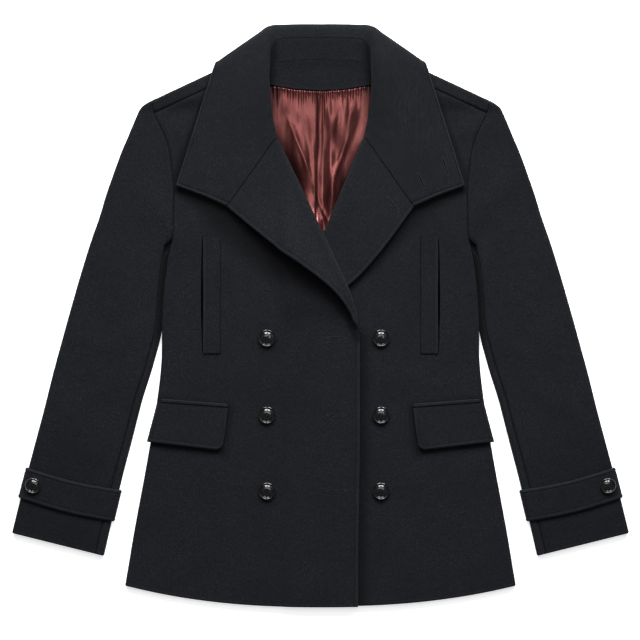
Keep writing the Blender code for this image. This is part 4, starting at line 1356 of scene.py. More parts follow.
@dataclass
class NeckOpening:
    """The facing below the collar's stand, and the satin below that."""

    lining_top: Table = ((0.0, 291.2), (34.0, 293.5), (76.0, 300.5))  # out, y
    facing_out: float = 67.6
    foot_y: float = 70.0
    half: float = 68.0
    ahead: float = 4.0  # the satin starts to rise this much lower than the back does
    gentle: float = 60.0  # how much longer its slope is than the back's
    pleat_at: float = -1.0
    folds: Table = (  # out, lean in mm per 100 mm, width, height, start below the top
        (-50, 24, 8.5, 3.6, 2), (-33, 15, 6.5, 3.2, 12), (-15, 6, 5, 2.4, 20), (11, 1, 5.5, 3.4, 3),
        (26, -8, 6.5, 3, 14), (44, -20, 8, 3.6, 4), (-58, 40, 3, 1.6, 30), (57, -34, 3.5, 1.8, 22),
    )
    lining: Panel = field(init=False)

    def _low(self, out: Array) -> Array:
        """Where the facing ends and the satin begins."""
        table = np.array(self.lining_top)
        return np.interp(np.abs(out), table[:, 0], table[:, 1])

    def _facing_rows(self) -> Rows:
        """The facing's rows, from the satin up to the stand."""
        collar = Collar().rows
        outs = np.linspace(-self.facing_out, self.facing_out, 60)
        seam = Path([row[0][:2] for row in collar[:6]])
        curve = seam.at(np.linspace(0, 1, 80))
        tops = np.interp(np.abs(outs) + LAYERS.collar / 2, curve[:, 0], curve[:, 1]) + 1.5
        lows = self._low(outs) + LAYERS.seam
        y = lows + (tops - lows) * np.linspace(0, 1, 14)[:, None]
        z = LAYERS.wool * 1.5 + LAYERS.seam + OUTLINE.lift(y) + 1.3 * ease((y - tops + 14) / 14)
        z = z + 2.0 * ease((np.abs(outs) - 50) / 16)
        # fourth value: painted shade, deeper at the sides under the collar's roll
        return grid(outs, y, z, 0.18 + 0.6 * ease((np.abs(outs) - 54) / 10))

    def _lining_rows(self) -> Rows:
        """The satin: gathered along its top, pleated in the middle and falling in soft folds."""
        outs = np.linspace(-self.half, self.half, 240)
        tops = self._low(outs)
        y = tops + (self.foot_y - tops) * np.linspace(0, 1, 150)[:, None] ** 1.15
        below = tops - y
        gather = 1.7 * (1 + np.sin(outs * 1.05 + 2.2 * np.sin(outs * 0.083) + below * 0.012))
        fade = 9 + 5 * np.sin(outs * 0.31) * np.sin(outs * 0.12 + 1)
        gather = gather * np.exp(-below / fade) * ease(below / 3 + 0.3)
        folds = 0.5 * np.sin(y / 13 + outs / 21 + 1.7 * np.sin(outs / 16)) * np.sin(outs / 11 + y / 47)
        for at, lean, wide, high, start in self.folds:
            middle = at + lean * below / 100 + 1.1 * np.sin(below / 24 + at)
            swell = 0.72 + 0.45 * np.sin(below / 16 + at * 0.7)
            ridge = np.exp(-np.abs((outs - middle) / wide) ** 1.7)
            folds = folds + 1.25 * high * swell * ridge * ease((below - start) / 30)
        pleat = self.pleat_at + 0.6 * np.sin(below / 31)
        near = np.clip(1 - np.abs(outs - pleat) / 5.0, 0, 1)
        crack = np.exp(-(((outs - pleat + 4.0) / 1.3) ** 2)) * ease((below - 4) / 8)
        folds = folds + 2.0 * np.sin(near * math.pi / 2) ** 1.5 * np.exp(-below / 190) - crack
        full, slope = LAYERS.collar + LAYERS.seam, 22 + self.gentle
        rise = full * ease((y + self.ahead - OUTLINE.lift_from_y + self.gentle) / slope)
        z = LAYERS.wool + LAYERS.seam + LAYERS.satin / 2 + 0.7 + rise
        z = z + (gather + folds) * ease((self.half - 2 - np.abs(outs)) / 12)
        opening = 57 - np.where(outs < 0, 0.48, 0.43) * (231 - y)
        beside = np.minimum(opening, 66.0) - np.abs(outs) + 4 * np.sin(y / 17)
        band = np.where(outs < 0, 19, 14) * np.clip(opening / 48, 0.2, 1)
        # painted shade in the pleat's crease, in the gathers' troughs and along the opening's sides
        dark = 0.8 * crack + 0.6 * np.exp(-below / 5) * ease((1.9 - gather) / 1.6)
        return grid(outs, y, z, np.clip(dark + 0.8 * ease(1 - beside / band), 0, 1))

    def build(self, room: Cloakroom) -> None:
        """Makes the facing and the lining.

        Args:
            room: keeps the finished pieces.
        """
        facing = Panel(DRAPE.lay(self._facing_rows()), FACING_WEIGHT, Rims(OPEN, OPEN, TURNED, OPEN))
        room.sheet("back_neck_facing", [facing], ["back_cloth"])
        self.lining = Panel(DRAPE.lay(self._lining_rows()), LINING_WEIGHT, Rims(OPEN, OPEN, SEAM, OPEN))
        room.sheet("back_lining", [self.lining], ["back_cloth"], Slot.SATIN, "back_lining_satin")


# ---- sleeves


@dataclass
class Sleeve:
    """A two-piece sleeve with a strap and its button."""

    side: Side
    underarm: int = 9  # the section at the underarm
    per_section: int = 6
    overlap: float = 0.15  # past the armhole line, into the front's seam
    sag: float = 0.56  # share of its height that the inner edge loses beside the waist
    sag_over: float = 16.0
    hindarm_in: float = 10.0
    forearm_in: float = 11.5
    strap_ends: Table = ((-198.6, -227.0), (-238.0, -268.0))  # y at the outer and inner edge
    strap_bow: float = 3.4  # its middle lies this much lower than its ends
    strap_low: float = 64.0  # degrees round the edge at which the strap ends
    button_in: float = 13.6  # from the strap's outer end
    strap: Panel = field(init=False)
    sections: Table = (  # outer out, outer y, inner out, inner y, from the shoulder to the hem
        (219.8, 279, 218.4, 270.5), (226.8, 275.2, 217.4, 264), (234, 269.5, 213.8, 256.4),
        (239.8, 258.4, 207.3, 243.4), (245.1, 246, 200.8, 226.5), (251.6, 230.4, 197, 208.3),
        (259.4, 212.2, 193.7, 188.8), (268.4, 187.5, 192, 162.8), (278.9, 157.6, 192.1, 131.6),
        (287.5, 129, 192.9, 101.7), (299.7, 93.9, 199.3, 64), (311.4, 56.2, 203.6, 23.7),
        (323.1, 15.9, 206.3, -19.2), (336.1, -30.9, 218.2, -66.9), (347.8, -73.8, 231.5, -109.3),
        (360.1, -123.2, 244.1, -158.5), (372.6, -170, 256.4, -205.3), (391.2, -240.2, 273.6, -276.6),
        (401.9, -283.4, 281.9, -313.3),
    )

    def _edge(self, y: float, inner: bool) -> float:
        """How far out the sleeve's outer or inner silhouette is at height y."""
        first = 2 if inner else 0
        return Graph([(row[first + 1], row[first]) for row in self.sections]).at(y)

    def _sagged(self, from_edge: Array, z: Array, sag: float) -> tuple[Array, Array]:
        """Heights sunk beside the waist, and the painted shade in the trough there.

        Args:
            from_edge: how far each point is from the inner edge.
            z: the heights.
            sag: how far this section sinks, from 0 to 1.

        Returns:
            The new heights, and the painted shade of each point.
        """
        near = np.clip(1 - from_edge / self.sag_over, 0, 1)
        low = LAYERS.back_z
        return low + (z - low) * (1 - self.sag * sag * near**1.6), 0.95 * sag * ease((near - 0.25) / 0.5)

    def _rows(self) -> tuple[Rows, Rows]:
        """Rows of the top sleeve and of the under sleeve."""
        table, last = Path(self.sections, by_length=False), len(self.sections) - 1
        half, low = LAYERS.wool / 2, LAYERS.back_z
        tops, unders = [], []
        for stop in np.linspace(0, last, last * self.per_section + 1):
            share = stop / last
            outer, inner = table.at(share).reshape(2, 2)
            if stop <= self.underarm:
                inner[0] = OUTLINE.side_out(inner[1]) - self.overlap
            width = np.linalg.norm(inner - outer)
            across = (inner - outer) / width
            wrapped = OUTLINE.wrapped(inner[1])
            small = min(1.0, width / 8.5)
            fold, edge_in = LAYERS.fold * small, LAYERS.edge_in * small
            high = low + 2 * fold
            hind = edge_in + 0.1 + (self.hindarm_in - edge_in) * ease((width - 12) / 40)
            fore = edge_in + (self.forearm_in - edge_in) * share
            sag = ease((105 - inner[1]) / 20) * ease((inner[1] + 58) / 40)

            turn = np.radians(np.linspace(0, 180, 14))
            end = width - fore * min(1.0, wrapped * 3)
            flat = np.linspace(edge_in, end, 46)[1:]
            start = np.linspace(hind, edge_in, 4)[:-1]
            inward = np.concatenate([start, edge_in - fold * np.sin(turn), flat])
            z = np.concatenate([start * 0 + low, low + fold * (1 - np.cos(turn)), flat * 0 + high])
            z, dark = self._sagged(width - inward, z, sag)
            # more painted shade down the forearm towards the cuff
            dark += 0.22 * ease((-110 - outer[1]) / 90)
            tops.append(np.column_stack([outer + across * inward[:, None], z, dark]))

            turned = math.pi * wrapped
            begin = width - half * wrapped - fold * math.sin(min(turned, math.pi / 2))
            turn = np.linspace(0, turned, 14)
            past = (fore - edge_in) * wrapped * np.linspace(0, 1, 5)[1:]
            flat = np.linspace(hind + LAYERS.seam, begin, 40)[:-1]
            round_in = begin + fold * np.sin(turn)
            round_z = low + fold * (1 - np.cos(turn))
            inward = np.concatenate([flat, round_in, round_in[-1] + past * math.cos(turned)])
            z = np.concatenate([flat * 0 + low, round_z, round_z[-1] + past * math.sin(turned)])
            z, dark = self._sagged(width - inward, z, sag)
            unders.append(np.column_stack([outer + across * inward[:, None], z, dark]))
        for row in tops + unders:
            row[:, 2] += OUTLINE.lift(row[:, 1])
        return np.array(tops), np.array(unders)

    def _strap_rows(self) -> Rows:
        """A band over the sleeve, round both of its edges and down to the floor."""
        over = LAYERS.wool / 2 + LAYERS.seam + LAYERS.strap / 2
        radius, centre = LAYERS.fold + over, LAYERS.back_z + LAYERS.fold
        rows = []
        for level in np.linspace(0, 1, 15):
            high, low = (a + (b - a) * level for a, b in zip(*self.strap_ends))
            outer, inner = np.array([self._edge(high, False), high]), np.array([self._edge(low, True), low])
            width = np.linalg.norm(inner - outer)
            turn = np.radians(np.linspace(self.strap_low, 180, 12))
            inward, z = LAYERS.edge_in - radius * np.sin(turn), centre - radius * np.cos(turn)
            flat = np.linspace(LAYERS.edge_in, width - LAYERS.edge_in, 60)[1:-1]
            inward = np.concatenate([inward, flat, width - inward[::-1]])
            z = np.concatenate([z, flat * 0 + centre + radius, z[::-1]])
            spots = outer + (inner - outer) / width * inward[:, None]
            spots[:, 1] -= self.strap_bow * np.sin(math.pi * np.clip(inward / width, 0, 1))
            # fourth value: an even painted shade over the whole strap
            rows.append(np.column_stack([spots, z, np.full_like(z, 0.12)]))
        return np.array(rows)

    def button_place(self) -> Array:
        """X and Y of the strap's button, in millimetres."""
        row = self.strap.middle[len(self.strap.middle) // 2]
        across = unit(row[-1, :2] - row[0, :2])
        return row[0, :2] + across * self.button_in

    def build(self, room: Cloakroom) -> None:
        """Makes the sleeve and its strap.

        Args:
            room: keeps the finished pieces.
        """
        word, (tops, unders) = self.side.word, self._rows()
        rims = Rims(SEAM, SEAM, OPEN, TURNED)
        under = Panel(place(self.side, unders), MELTON_WEIGHT, rims, (0, 0, -1))
        top = Panel(place(self.side, tops), MELTON_WEIGHT, rims)
        room.sheet(f"under_sleeve_{word}", [under])
        room.sheet(f"top_sleeve_{word}", [top], [f"under_sleeve_{word}_cloth"])
        rims = Rims(OPEN, OPEN, STITCHED, STITCHED)
        self.strap = Panel(place(self.side, self._strap_rows()), STRAP_WEIGHT, rims)
        room.sheet(f"sleeve_strap_{word}", [self.strap], [f"top_sleeve_{word}_cloth"])


# ---- pockets


@dataclass
class Pockets:
    """One front's upright welt pocket, and the flap pocket below it."""

    cut: FrontCut
    welt_out: tuple[float, float] = (129.6, 153.2)
    welt_y: tuple[float, float] = (-50.6, 103.0)
    welt_sunk: float = 2.7  # the welt lies in the front, with little of it standing proud
    mouth_wide: float = 1.1
    flap_top: Table = ((212.5, -113.6), (120.0, -120.6))
    flap_bottom: Table = ((225.9, -164.6), (128.4, -176.2))
    corner: float = 8.5
    jet_wide: float = 5.0
    jet_thick: float = 2.4
    welt: Panel = field(init=False)
    flap: Panel = field(init=False)

    def _welt_rows(self) -> Rows:
        """The welt, its free edge a little slack."""
        level, share = np.linspace(0, 1, 50)[:, None], np.linspace(0, 1, 24)
        y = self.welt_y[0] + (self.welt_y[1] - self.welt_y[0]) * level
        slack = np.sin(math.pi * level)
        outs = self.welt_out[0] + (self.welt_out[1] - self.welt_out[0] - 0.4 * slack) * share
        outs = outs + 0.2 * np.sin(level * 9.0 + 0.6) * slack * share
        return grid(outs, y, self.cut.top(outs, y, LAYERS.turned) - self.welt_sunk + 1.3 * slack * share**3)

    def _flap_rows(self) -> Rows:
        """The flap, with its inner lower corner rounded and its lower edge lifting a little."""
        (top_out, top_in), (low_out, low_in) = np.array(self.flap_top), np.array(self.flap_bottom)
        length = np.linalg.norm(low_in - low_out)
        turn = np.radians(np.linspace(0, 90, 14))
        ends = self.corner * (1 - np.cos(turn)) / length
        shares = np.concatenate([np.linspace(0, 1 - ends[-1], 40)[:-1], 1 - ends[::-1]])
        past = np.maximum(0.0, self.corner - (1 - shares) * length)
        short = self.corner - np.sqrt(np.maximum(self.corner**2 - past**2, 0.0))
        top = top_out + (top_in - top_out) * shares[:, None]
        low = low_out + (low_in - low_out) * shares[:, None]
        low = low + unit(top - low) * short[:, None]
        level = np.linspace(0, 1, 30)[:, None]
        spots = top + (low - top) * level[..., None]
        lift = 0.9 * level**3 * (0.4 + 0.6 * np.sin(math.pi * shares) + 0.3 * np.sin(7 * shares))
        return grid(spots[..., 0], spots[..., 1], self.cut.top(200.0, 0.0, LAYERS.turned) + lift)

    def _jet_rows(self) -> Rows:
        """The narrow strip that the flap hangs from."""
        outer, inner = (np.array(end) + (0, LAYERS.seam) for end in self.flap_top)
        share, rise = np.linspace(0, 1, 50), np.linspace(0, self.jet_wide, 6)[:, None]
        y = outer[1] + (inner[1] - outer[1]) * share + rise
        limit = OUTLINE.side_out(y) - LAYERS.fold - LAYERS.wool
        outs = np.minimum(outer[0] + (inner[0] - outer[0]) * share, limit)
        return grid(outs, y, self.cut.top(outs, y, self.jet_thick))

    def _mouth_rows(self) -> Rows:
        """A near-black sheet beside the welt's free edge: painted shadow for the pocket's opening."""
        level = np.linspace(0, 1, 40)[:, None]
        y = self.welt_y[0] + 1.5 + (self.welt_y[1] - self.welt_y[0] - 3.0) * level
        wide = 0.5 + (self.mouth_wide + 0.7) * np.clip(np.sin(math.pi * level), 0, 1) ** 0.7
        outs = self.welt_out[1] - 1.6 + (1.6 + wide) * np.linspace(0, 1, 6)
        return grid(outs, y, self.cut.height(outs, y) + LAYERS.wool / 2 + 0.05)

    def build(self, room: Cloakroom) -> None:
        """Makes the pockets.

        Args:
            room: keeps the finished pieces.
        """
        side, word = self.cut.side, self.cut.side.word
        front = [f"front_{word}_cloth"]
        self.welt = Panel(place(side, self._welt_rows()), TURNED_WEIGHT, Rims(SEAM, STITCHED, SEAM, SEAM))
        room.sheet(f"pocket_welt_{word}", [self.welt], front)
        rims = Rims(STITCHED, STITCHED, SEAM, STITCHED)
        self.flap = Panel(place(side, self._flap_rows()), TURNED_WEIGHT, rims)
        room.sheet(f"pocket_flap_{word}", [self.flap], front)
        # painted shadows under the jet and round the flap's edges
        above = [(out, y + self.jet_wide, 4.5) for out, y in self.flap_top]
        room.darken(*front, side, above, 0.4, 0.2)
        beside = [(*self.flap_top[1], 11.0), (*self.flap_bottom[1], 15.0), (*self.flap_bottom[0], 9.0)]
        room.darken(*front, side, beside, 0.6, 0.1)
        weight = Weight(self.jet_thick, round_over=1.6, seam_over=1.4, seam_dark=0.9, across=2.0, along=0.8)
        rims = Rims(SEAM, SEAM, SEAM, TURNED)
        room.sheet(f"pocket_jet_{word}", [Panel(place(side, self._jet_rows()), weight, rims)], front)
        # the pocket's opening: a thin near-black sheet as painted shadow
        weight = Weight(0.4, round_over=0.3, across=1.0, along=3.0)
        mouth = Panel(place(side, self._mouth_rows()), weight, Rims())
        data = mesh_of(f"pocket_mouth_{word}", [mouth])
        dark = Thread("pocketing", (0.0006, 0.0006, 0.0008), gloss=0.0).material()
        room.add(f"pocket_mouth_{word}", data, finish=dark)


# ---- buttons


@dataclass
class Button:
    """A turned four-hole button with a raised rim, and the thread that holds it."""

    diameter: float
    sides: int = 64
    profile: Table = (  # radius and height, as shares of the radius, top to bottom
        (0, 0.325), (0.22, 0.318), (0.42, 0.285), (0.56, 0.235), (0.66, 0.18), (0.7, 0.165), (0.74, 0.185),
        (0.79, 0.26), (0.84, 0.33), (0.88, 0.352), (0.92, 0.34), (0.965, 0.29), (0.995, 0.27),
        (0.985, 0.17), (0.92, 0.075), (0.8, 0.015), (0.68, 0), (0, 0),
    )
    hole_at: float = 0.2
    hole_radius: float = 0.072
    flare: Table = (  # a drill's radius and height, as shares of the hole's and the button's radius
        (0, -1), (1, -1), (1, 0.27), (1.12, 0.3), (1.5, 0.33), (1.5, 0.6), (0, 0.6),
    )
    hole_sides: int = 20

    def _turn(self, mesh: bmesh.types.BMesh, curve: Array, sides: int, centre: Sequence[float]) -> None:
        """Adds one turned body to a mesh.

        Args:
            mesh: takes the body.
            curve: radius and height down its outline, from the axis and back to it.
            sides: how many sides it has.
            centre: X and Y of its axis.
        """
        turns = np.arange(sides) * math.tau / sides
        circle = grid(np.cos(turns), np.sin(turns))
        rings = []
        for r, z in curve:
            spots = circle * r + centre if r > 1e-7 else [centre]
            rings.append([mesh.verts.new((*spot, z)) for spot in spots])
        for upper, lower in zip(rings, rings[1:]):
            for i in range(sides):
                corners = ((upper, i), (lower, i), (lower, i + 1), (upper, i + 1))
                mesh.faces.new(list(dict.fromkeys(ring[k % len(ring)] for ring, k in corners)))

    def _bodies(self) -> Iterable[tuple[str, bmesh.types.BMesh]]:
        """The button without its holes, on Z = 0, then four drills that flare where they leave its face."""
        radius = self.diameter / 2 * MM
        mesh = bmesh.new()
        self._turn(mesh, Path(self.profile).at(np.linspace(0, 1, 60)) * radius, self.sides, (0.0, 0.0))
        yield "turned", mesh
        mesh = bmesh.new()
        for turn in np.radians((45, 135, 225, 315)):
            centre = self.hole_at * radius * np.array((math.cos(turn), math.sin(turn)))
            flare = np.array(self.flare) * (self.hole_radius * radius, radius)
            self._turn(mesh, flare, self.hole_sides, centre)
        yield "drills", mesh

    def mesh(self, name: str) -> Mesh:
        """The drilled button, in metres, standing on Z = 0.

        Args:
            name: the mesh's name.

        Returns:
            The mesh.
        """
        helpers = []
        for word, made in self._bodies():
            bmesh.ops.recalc_face_normals(made, faces=made.faces)
            data = bpy.data.meshes.new(f"{name}_{word}")
            made.to_mesh(data)
            made.free()
            helper = bpy.data.objects.new(f"{name}_{word}", data)
            bpy.context.scene.collection.objects.link(helper)
            helpers.append(helper)
        cut = helpers[0].modifiers.new("Holes", "BOOLEAN")
        cut.operation, cut.solver, cut.object = "DIFFERENCE", "EXACT", helpers[1]
        bpy.context.view_layer.update()
        graph = bpy.context.evaluated_depsgraph_get()
        data = bpy.data.meshes.new_from_object(helpers[0].evaluated_get(graph))
        for helper in helpers:
            bpy.data.objects.remove(helper)
        data.shade_smooth()
        data.set_sharp_from_angle(angle=math.radians(38))
        return data

    def thread_lines(self, centre: Array, turn: float) -> list[Array]:
        """Two short bars of thread over the holes, in millimetres.

        Args:
            centre: X, Y and Z of the button's underside.
            turn: the button's turn about Z.

        Returns:
            The bars, as lines.
        """
        radius = self.diameter / 2
        reach = self.hole_at * radius / math.sqrt(2)
        along = np.linspace(-1, 1, 7)
        z = radius * (0.315 - 0.9 * np.maximum(0.0, np.abs(along) - 0.6) ** 2)
        c, s = math.cos(turn), math.sin(turn)
        x = reach * along * 1.04
        return [grid(x * c - y * s, x * s + y * c, z) + centre for y in (-reach, reach)]


@dataclass
class Buttons:
    """Six buttons on the fronts and one on each strap."""

    front: Button = field(default_factory=lambda: Button(22.9))
    cuff: Button = field(default_factory=lambda: Button(20.3))
    heights: tuple[float, ...] = (-29.6, -129.7, -228.5)
    outs: dict[Side, float] = field(default_factory=lambda: {Side.RIGHT: 69.6, Side.LEFT: 78.7})
    threads: list[Array] = field(default_factory=list)

    def _sew(
        self, room: Cloakroom, node: str, button: Button, blank: Mesh, spot: Array, turn: float
    ) -> None:
        """Sets one button on the cloth under a spot.

        Args:
            room: keeps the finished pieces.
            node: the node that the button stands for.
            button: its shape.
            blank: its mesh at the origin.
            spot: X and Y of its middle, in millimetres.
            turn: its angle about Z, in radians.
        """
        turns = np.arange(0, 2 * math.pi, 0.8)
        ring = np.vstack([grid(spot[0] + r * np.cos(turns), spot[1] + r * np.sin(turns)) for r in (2, 6)])
        seat = np.array([*spot, room.drop(ring)[:, 2].max() + 0.25])
        data = blank.copy()
        data.name = f"{node}_horn"
        data.transform(Matrix.Translation(seat * MM) @ Matrix.Rotation(turn, 4, "Z"))
        room.add(data.name, data, Slot.HORN, node)
        self.threads += button.thread_lines(seat, turn)

    def build(self, room: Cloakroom, sleeves: Sequence[Sleeve]) -> None:
        """Makes every button.

        Args:
            room: keeps the finished pieces.
            sleeves: the sleeves, for the places of their buttons.
        """
        blank = self.front.mesh("front_button_blank")
        turns = iter((0.2, -0.5, 0.9, 0.4, -0.15, 1.2))
        for side in Side:
            for i, y in enumerate(self.heights, 1):
                spot = np.array([side.value * self.outs[side], y])
                self._sew(room, f"button_{side.word}_{i}", self.front, blank, spot, next(turns))
        blank = self.cuff.mesh("cuff_button_blank")
        for sleeve in sleeves:
            self._sew(room, f"cuff_button_{sleeve.side.word}", self.cuff, blank, sleeve.button_place(), 0.6)


# ---- stitches


class StitchTree:
    """A node tree that lays short stitches along lines."""

    inputs = (
        ("Spacing", "NodeSocketFloat", 0.0032),
        ("Length", "NodeSocketFloat", 0.0023),
        ("Width", "NodeSocketFloat", 0.0006),
        ("Height", "NodeSocketFloat", 0.0005),
        ("Wander", "NodeSocketFloat", 0.0001),
        ("Seed", "NodeSocketInt", 7),
    )

    def __init__(self, thread: Material) -> None:
        """Builds the tree.

        Args:
            thread: the stitches' material.
        """
        self.tree = bpy.data.node_groups.new(f"stitches_{thread.name}", "GeometryNodeTree")
        face = self.tree.interface
        face.new_socket("Geometry", in_out="INPUT", socket_type="NodeSocketGeometry")
        self.sockets = {}
        for name, kind, value in self.inputs:
            socket = face.new_socket(name, in_out="INPUT", socket_type=kind)
            socket.default_value = value
            self.sockets[name] = socket.identifier
        face.new_socket("Geometry", in_out="OUTPUT", socket_type="NodeSocketGeometry")
        add = self._node
        given = add("NodeGroupInput").outputs
        curve = add("GeometryNodeMeshToCurve", Mesh=given["Geometry"])
        dots = add("GeometryNodeCurveToPoints", {"mode": "LENGTH"}, Curve=curve, Length=given["Spacing"])
        turned = add("FunctionNodeAlignRotationToVector", {"axis": "X"}, Vector=dots.outputs["Tangent"])
        reach = np.array((1.0, 1.0, 0.3))
        scale, wander = {"operation": "SCALE"}, given["Wander"]
        shake = add("FunctionNodeRandomValue", {"data_type": "FLOAT_VECTOR"}, Seed=given["Seed"])
        for socket, corner in zip(shake.inputs, (-reach, reach)):
            ends = add("ShaderNodeVectorMath", scale, Vector=tuple(corner), Scale=wander)
            self.tree.links.new(ends.outputs[0], socket)
        moved = add("GeometryNodeSetPosition", Geometry=dots, Offset=shake)
        bead = add("GeometryNodeMeshUVSphere", Segments=6, Rings=4, Radius=0.5)
        size = add("ShaderNodeCombineXYZ", X=given["Length"], Y=given["Width"], Z=given["Height"])
        shaped = add("GeometryNodeTransform", Geometry=bead, Scale=size)
        laid = add("GeometryNodeInstanceOnPoints", Points=moved, Instance=shaped, Rotation=turned)
        real = add("GeometryNodeRealizeInstances", Geometry=laid)
        smooth = add("GeometryNodeSetShadeSmooth", Geometry=real)
        dressed = add("GeometryNodeSetMaterial", Geometry=smooth, Material=thread)
        add("NodeGroupOutput", Geometry=dressed)

    def _node(self, kind: str, modes: dict[str, str] | None = None, **inputs: object) -> bpy.types.Node:
        """A node with its modes set and its sockets set or linked.

        Args:
            kind: Blender's name for it.
            modes: its options by name.
            inputs: its sockets by name, as values, sockets or nodes.

        Returns:
            The node.
        """
        made = self.tree.nodes.new(kind)
        for name, value in (modes or {}).items():
            setattr(made, name, value)
        for name, value in inputs.items():
            value = value.outputs[0] if isinstance(value, bpy.types.Node) else value
            if isinstance(value, Socket):
                self.tree.links.new(value, made.inputs[name])
            else:
                made.inputs[name].default_value = value
        return made

    def lay(self, name: str, lines: Sequence[Array], **sizes: float) -> Mesh:
        """Stitches along lines, as one plain mesh.

        Args:
            name: the mesh's name.
            lines: the lines, in millimetres.
            sizes: inputs of the tree that differ from its own values, in metres.

        Returns:
            The mesh.
        """
        points, edges = [], []
        for line in lines:
            edges += [(len(points) + i, len(points) + i + 1) for i in range(len(line) - 1)]
            points += (np.asarray(line) * MM).tolist()
        data = bpy.data.meshes.new(f"{name}_lines")
        data.from_pydata(points, edges, [])
        helper = bpy.data.objects.new(f"{name}_lines", data)
        bpy.context.scene.collection.objects.link(helper)
        stitches = helper.modifiers.new("Stitches", "NODES")
        stitches.node_group = self.tree
        for key, value in sizes.items():
            stitches[self.sockets[key]] = value
        graph = bpy.context.evaluated_depsgraph_get()
        made = bpy.data.meshes.new_from_object(helper.evaluated_get(graph))
        made.name = name
        helper.modifiers.remove(stitches)
        bpy.data.objects.remove(helper)
        return made


@dataclass
class Needlework:
    """Every line of stitches on the coat."""

    stitch_in: float = 5.2
    sunk: float = 0.12
    collar_holes: tuple[Table, ...] = (  # on the left lapel and the collar's left half
        ((86.5, 153.7), (100.8, 134.2)), ((125.5, 184.9), (135.9, 165.4)), ((158, 205.7), (165.8, 181)),
    )

    def _hole(self, room: Cloakroom, start: Array, end: Array, names: Sequence[str]) -> tuple[Array, Array]:
        """The outline of one worked buttonhole, laid on the cloth.

        Args:
            room: keeps the finished pieces.
            start, end: X, Y of the buttonhole's ends.
            names: the pieces that it lies on.

        Returns:
            Its closed line, and the line of its slit.
        """
        along = unit(end - start)
        across = np.array([-along[1], along[0]])
        half = np.linalg.norm(end - start) / 2
        turns = np.linspace(0, math.tau, 61)[:, None]
        middle, wide = (start + end) / 2, 1.2
        x, y = np.cos(turns), np.sin(turns)
        x, y = np.sign(x) * np.abs(x) ** 0.35 * half, np.sign(y) * np.abs(y) ** 0.6 * wide
        points = middle + along * x + across * y
        slit = middle + along * half * np.linspace(-0.85, 0.85, 9)[:, None]
        return room.drop(points, self.sunk, names), room.drop(slit, 0.0, names)

    def build(
        self,
        room: Cloakroom,
        fronts: Sequence[Front],
        collar: Collar,
        opening: NeckOpening,
        sleeves: Sequence[Sleeve],
        pockets: Sequence[Pockets],
        buttons: Buttons,
    ) -> None:
        """Sews it all.

        Args:
            room: keeps the finished pieces.
            fronts, collar, opening, sleeves, pockets, buttons: what is sewn.
        """
        threads = (
            Thread("black_thread", (0.006, 0.0064, 0.008)),
            Thread("maroon_thread", (0.11, 0.03, 0.03)),
            Thread("grey_thread", (0.034, 0.036, 0.041)),
            Thread("pale_thread", (0.036, 0.038, 0.043)),
            Thread("slit_shadow", (0.0008, 0.0008, 0.001), gloss=0.0),
        )
        black, maroon, grey, pale, shadow = (StitchTree(thread.material()) for thread in threads)
        lines = [(front.panel.line("end", self.stitch_in), front.cut.roll[-1][1] - 4) for front in fronts]
        groups = {
            "topstitch_fronts": [line[line[:, 1] < top] for line, top in lines],
            "topstitch_lapels": [front.facing.line("end", self.stitch_in) for front in fronts],
            "topstitch_collar": [collar.fall.line("end", self.stitch_in)],
            "topstitch_pockets": [
                panel.line(rim, self.stitch_in)
                for pocket in pockets
                for panel, rims in ((pocket.flap, ("begin", "last", "end")), (pocket.welt, ("end",)))
                for rim in rims
            ],
            "topstitch_straps": [
                sleeve.strap.line(rim, STRAP_WEIGHT.stitch_in)
                for sleeve in sleeves
                for rim in ("first", "last")
            ],
        }
        for name, lines in groups.items():
            room.add(name, black.lay(name, lines))
        holes = {
            "buttonhole_thread": [
                self._hole(room, np.array([8.5, y]), np.array([33.2, y]), ["front_right_cloth"])
                for y in buttons.heights
            ],
            "collar_hole_thread": [
                self._hole(room, *np.array(ends), ["facing_left_cloth", "collar_fall_cloth"])
                for ends in self.collar_holes
            ],
        }
        sizes = {"Spacing": 0.00075, "Length": 0.0006, "Width": 0.0012, "Height": 0.0007}
        for (name, made), sewn in zip(holes.items(), (grey, pale)):
            room.add(name, sewn.lay(name, [ring for ring, _ in made], **sizes))
        slits, hem = [slit for made in holes.values() for _, slit in made], opening.lining.line("first", 2.4)
        rest = (  # name, tree, lines, slot, then the stitches' spacing, length, width, height and wander
            ("buttonhole_slits", shadow, slits, Slot.MELTON, 0.0008, 0.0014, 0.0008, 0.0006, 0.0),
            ("button_thread", black, buttons.threads, Slot.MELTON, 0.0005, 0.0011, 0.00085, 0.0008, 0.0),
            ("lining_stitches", maroon, [hem], Slot.SATIN, 0.0026, 0.0011, 0.0005, 0.0004, 0.0001),
        )
        for name, sewn, lines, slot, *sizes in rest:
            sizes = dict(zip(("Spacing", "Length", "Width", "Height", "Wander"), sizes))
            room.add(name, sewn.lay(name, lines, **sizes), slot)


# ---- studio


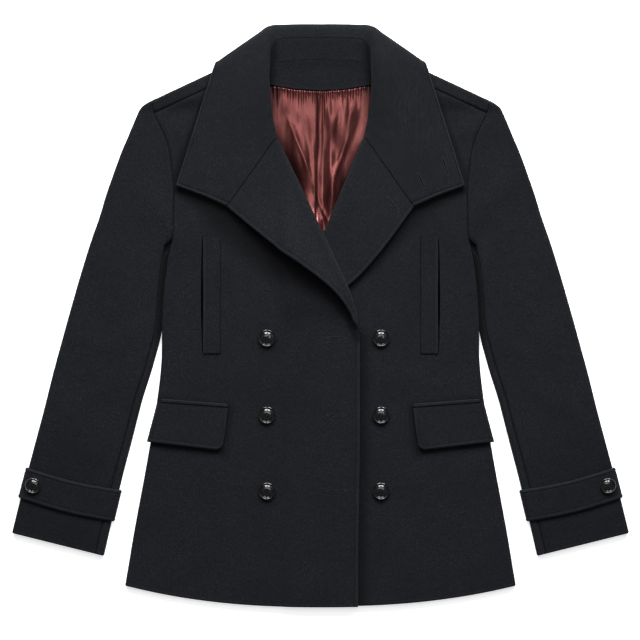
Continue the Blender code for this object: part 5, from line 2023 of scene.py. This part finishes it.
@dataclass
class Studio:
    """The floor, the lights and the camera."""

    lens: float = 135.0
    sensor: float = 36.0
    view_wide: float = 832.0  # what the camera sees across, in millimetres
    centre: tuple[float, float] = (-0.65, -6.2)
    plane_z: float = 10.0

    def _light(self, name: str, spot: Sequence[float], size: Sequence[float], power: float) -> None:
        """A soft rectangular light that faces the middle of the coat.

        Args:
            name: its name.
            spot: where it stands, in metres.
            size: its width and height.
            power: its energy, in watts.
        """
        data = bpy.data.lights.new(name, "AREA")
        data.shape, data.size, data.size_y, data.energy = "RECTANGLE", size[0], size[1], power
        light = bpy.data.objects.new(name, data)
        light.location = spot
        light.rotation_euler = (-Vector(spot)).to_track_quat("-Z", "Y").to_euler()
        light.visible_camera = False
        bpy.context.scene.collection.objects.link(light)

    def build(self) -> None:
        """Sets the scene."""
        scene = bpy.context.scene
        mesh = bpy.data.meshes.new("floor")
        corners = [(x, y, -0.0004) for x, y in ((-6, -6), (6, -6), (6, 6), (-6, 6))]
        mesh.from_pydata(corners, [], [(0, 1, 2, 3)])
        mesh.materials.append(Paper().material())
        floor = bpy.data.objects.new("floor", mesh)
        scene.collection.objects.link(floor)
        world = bpy.data.worlds.new("studio")
        world.use_nodes = True
        back = world.node_tree.nodes["Background"]
        back.inputs["Color"].default_value = (0.93, 0.96, 1.0, 1.0)
        back.inputs["Strength"].default_value = 0.1
        scene.world = world
        self._light("key_left", (-0.75, 3.2, 2.2), (1.45, 1.6), 180.0)
        self._light("key_right", (1.15, 3.2, 2.2), (1.45, 1.6), 180.0)
        self._light("overhead", (0.12, 0.45, 1.6), (1.4, 0.8), 8.0)
        self._light("fill", (0.0, -2.2, 0.9), (2.0, 0.3), 8.0)
        camera = bpy.data.objects.new("camera", bpy.data.cameras.new("camera"))
        camera.data.lens, camera.data.sensor_width = self.lens, self.sensor
        distance = self.lens / self.sensor * self.view_wide + self.plane_z
        camera.location = Vector((*self.centre, distance)) * MM
        camera.data.clip_end = 50.0
        scene.collection.objects.link(camera)
        scene.camera = camera
        scene.view_settings.view_transform = "Standard"


def main() -> None:
    """Builds the coat piece by piece."""
    logging.basicConfig(level=logging.INFO, format="%(name)s: %(message)s")
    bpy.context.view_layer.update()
    finishes = {
        Slot.MELTON: Melton().material(),
        # a little lighter copy of the melton: painted light for the collar's tilt towards the lamps
        Slot.COLLAR: Melton("collar_melton", (0.0057, 0.0063, 0.0079)).material(),
        Slot.SATIN: Satin().material(),
        Slot.HORN: Horn().material(),
    }
    room = Cloakroom(finishes)
    Back().build(room)
    opening = NeckOpening()
    opening.build(room)
    fronts = [Front(UNDER), Front(OVER)]
    for front in fronts:
        front.build(room)
    sleeves = [Sleeve(side) for side in Side]
    for sleeve in sleeves:
        sleeve.build(room)
    pockets = [Pockets(front.cut) for front in fronts]
    for pocket in pockets:
        pocket.build(room)
    collar = Collar()
    collar.build(room)
    buttons = Buttons()
    buttons.build(room, sleeves)
    Needlework().build(room, fronts, collar, opening, sleeves, pockets, buttons)
    Studio().build()


if __name__ == "__main__":
    main()
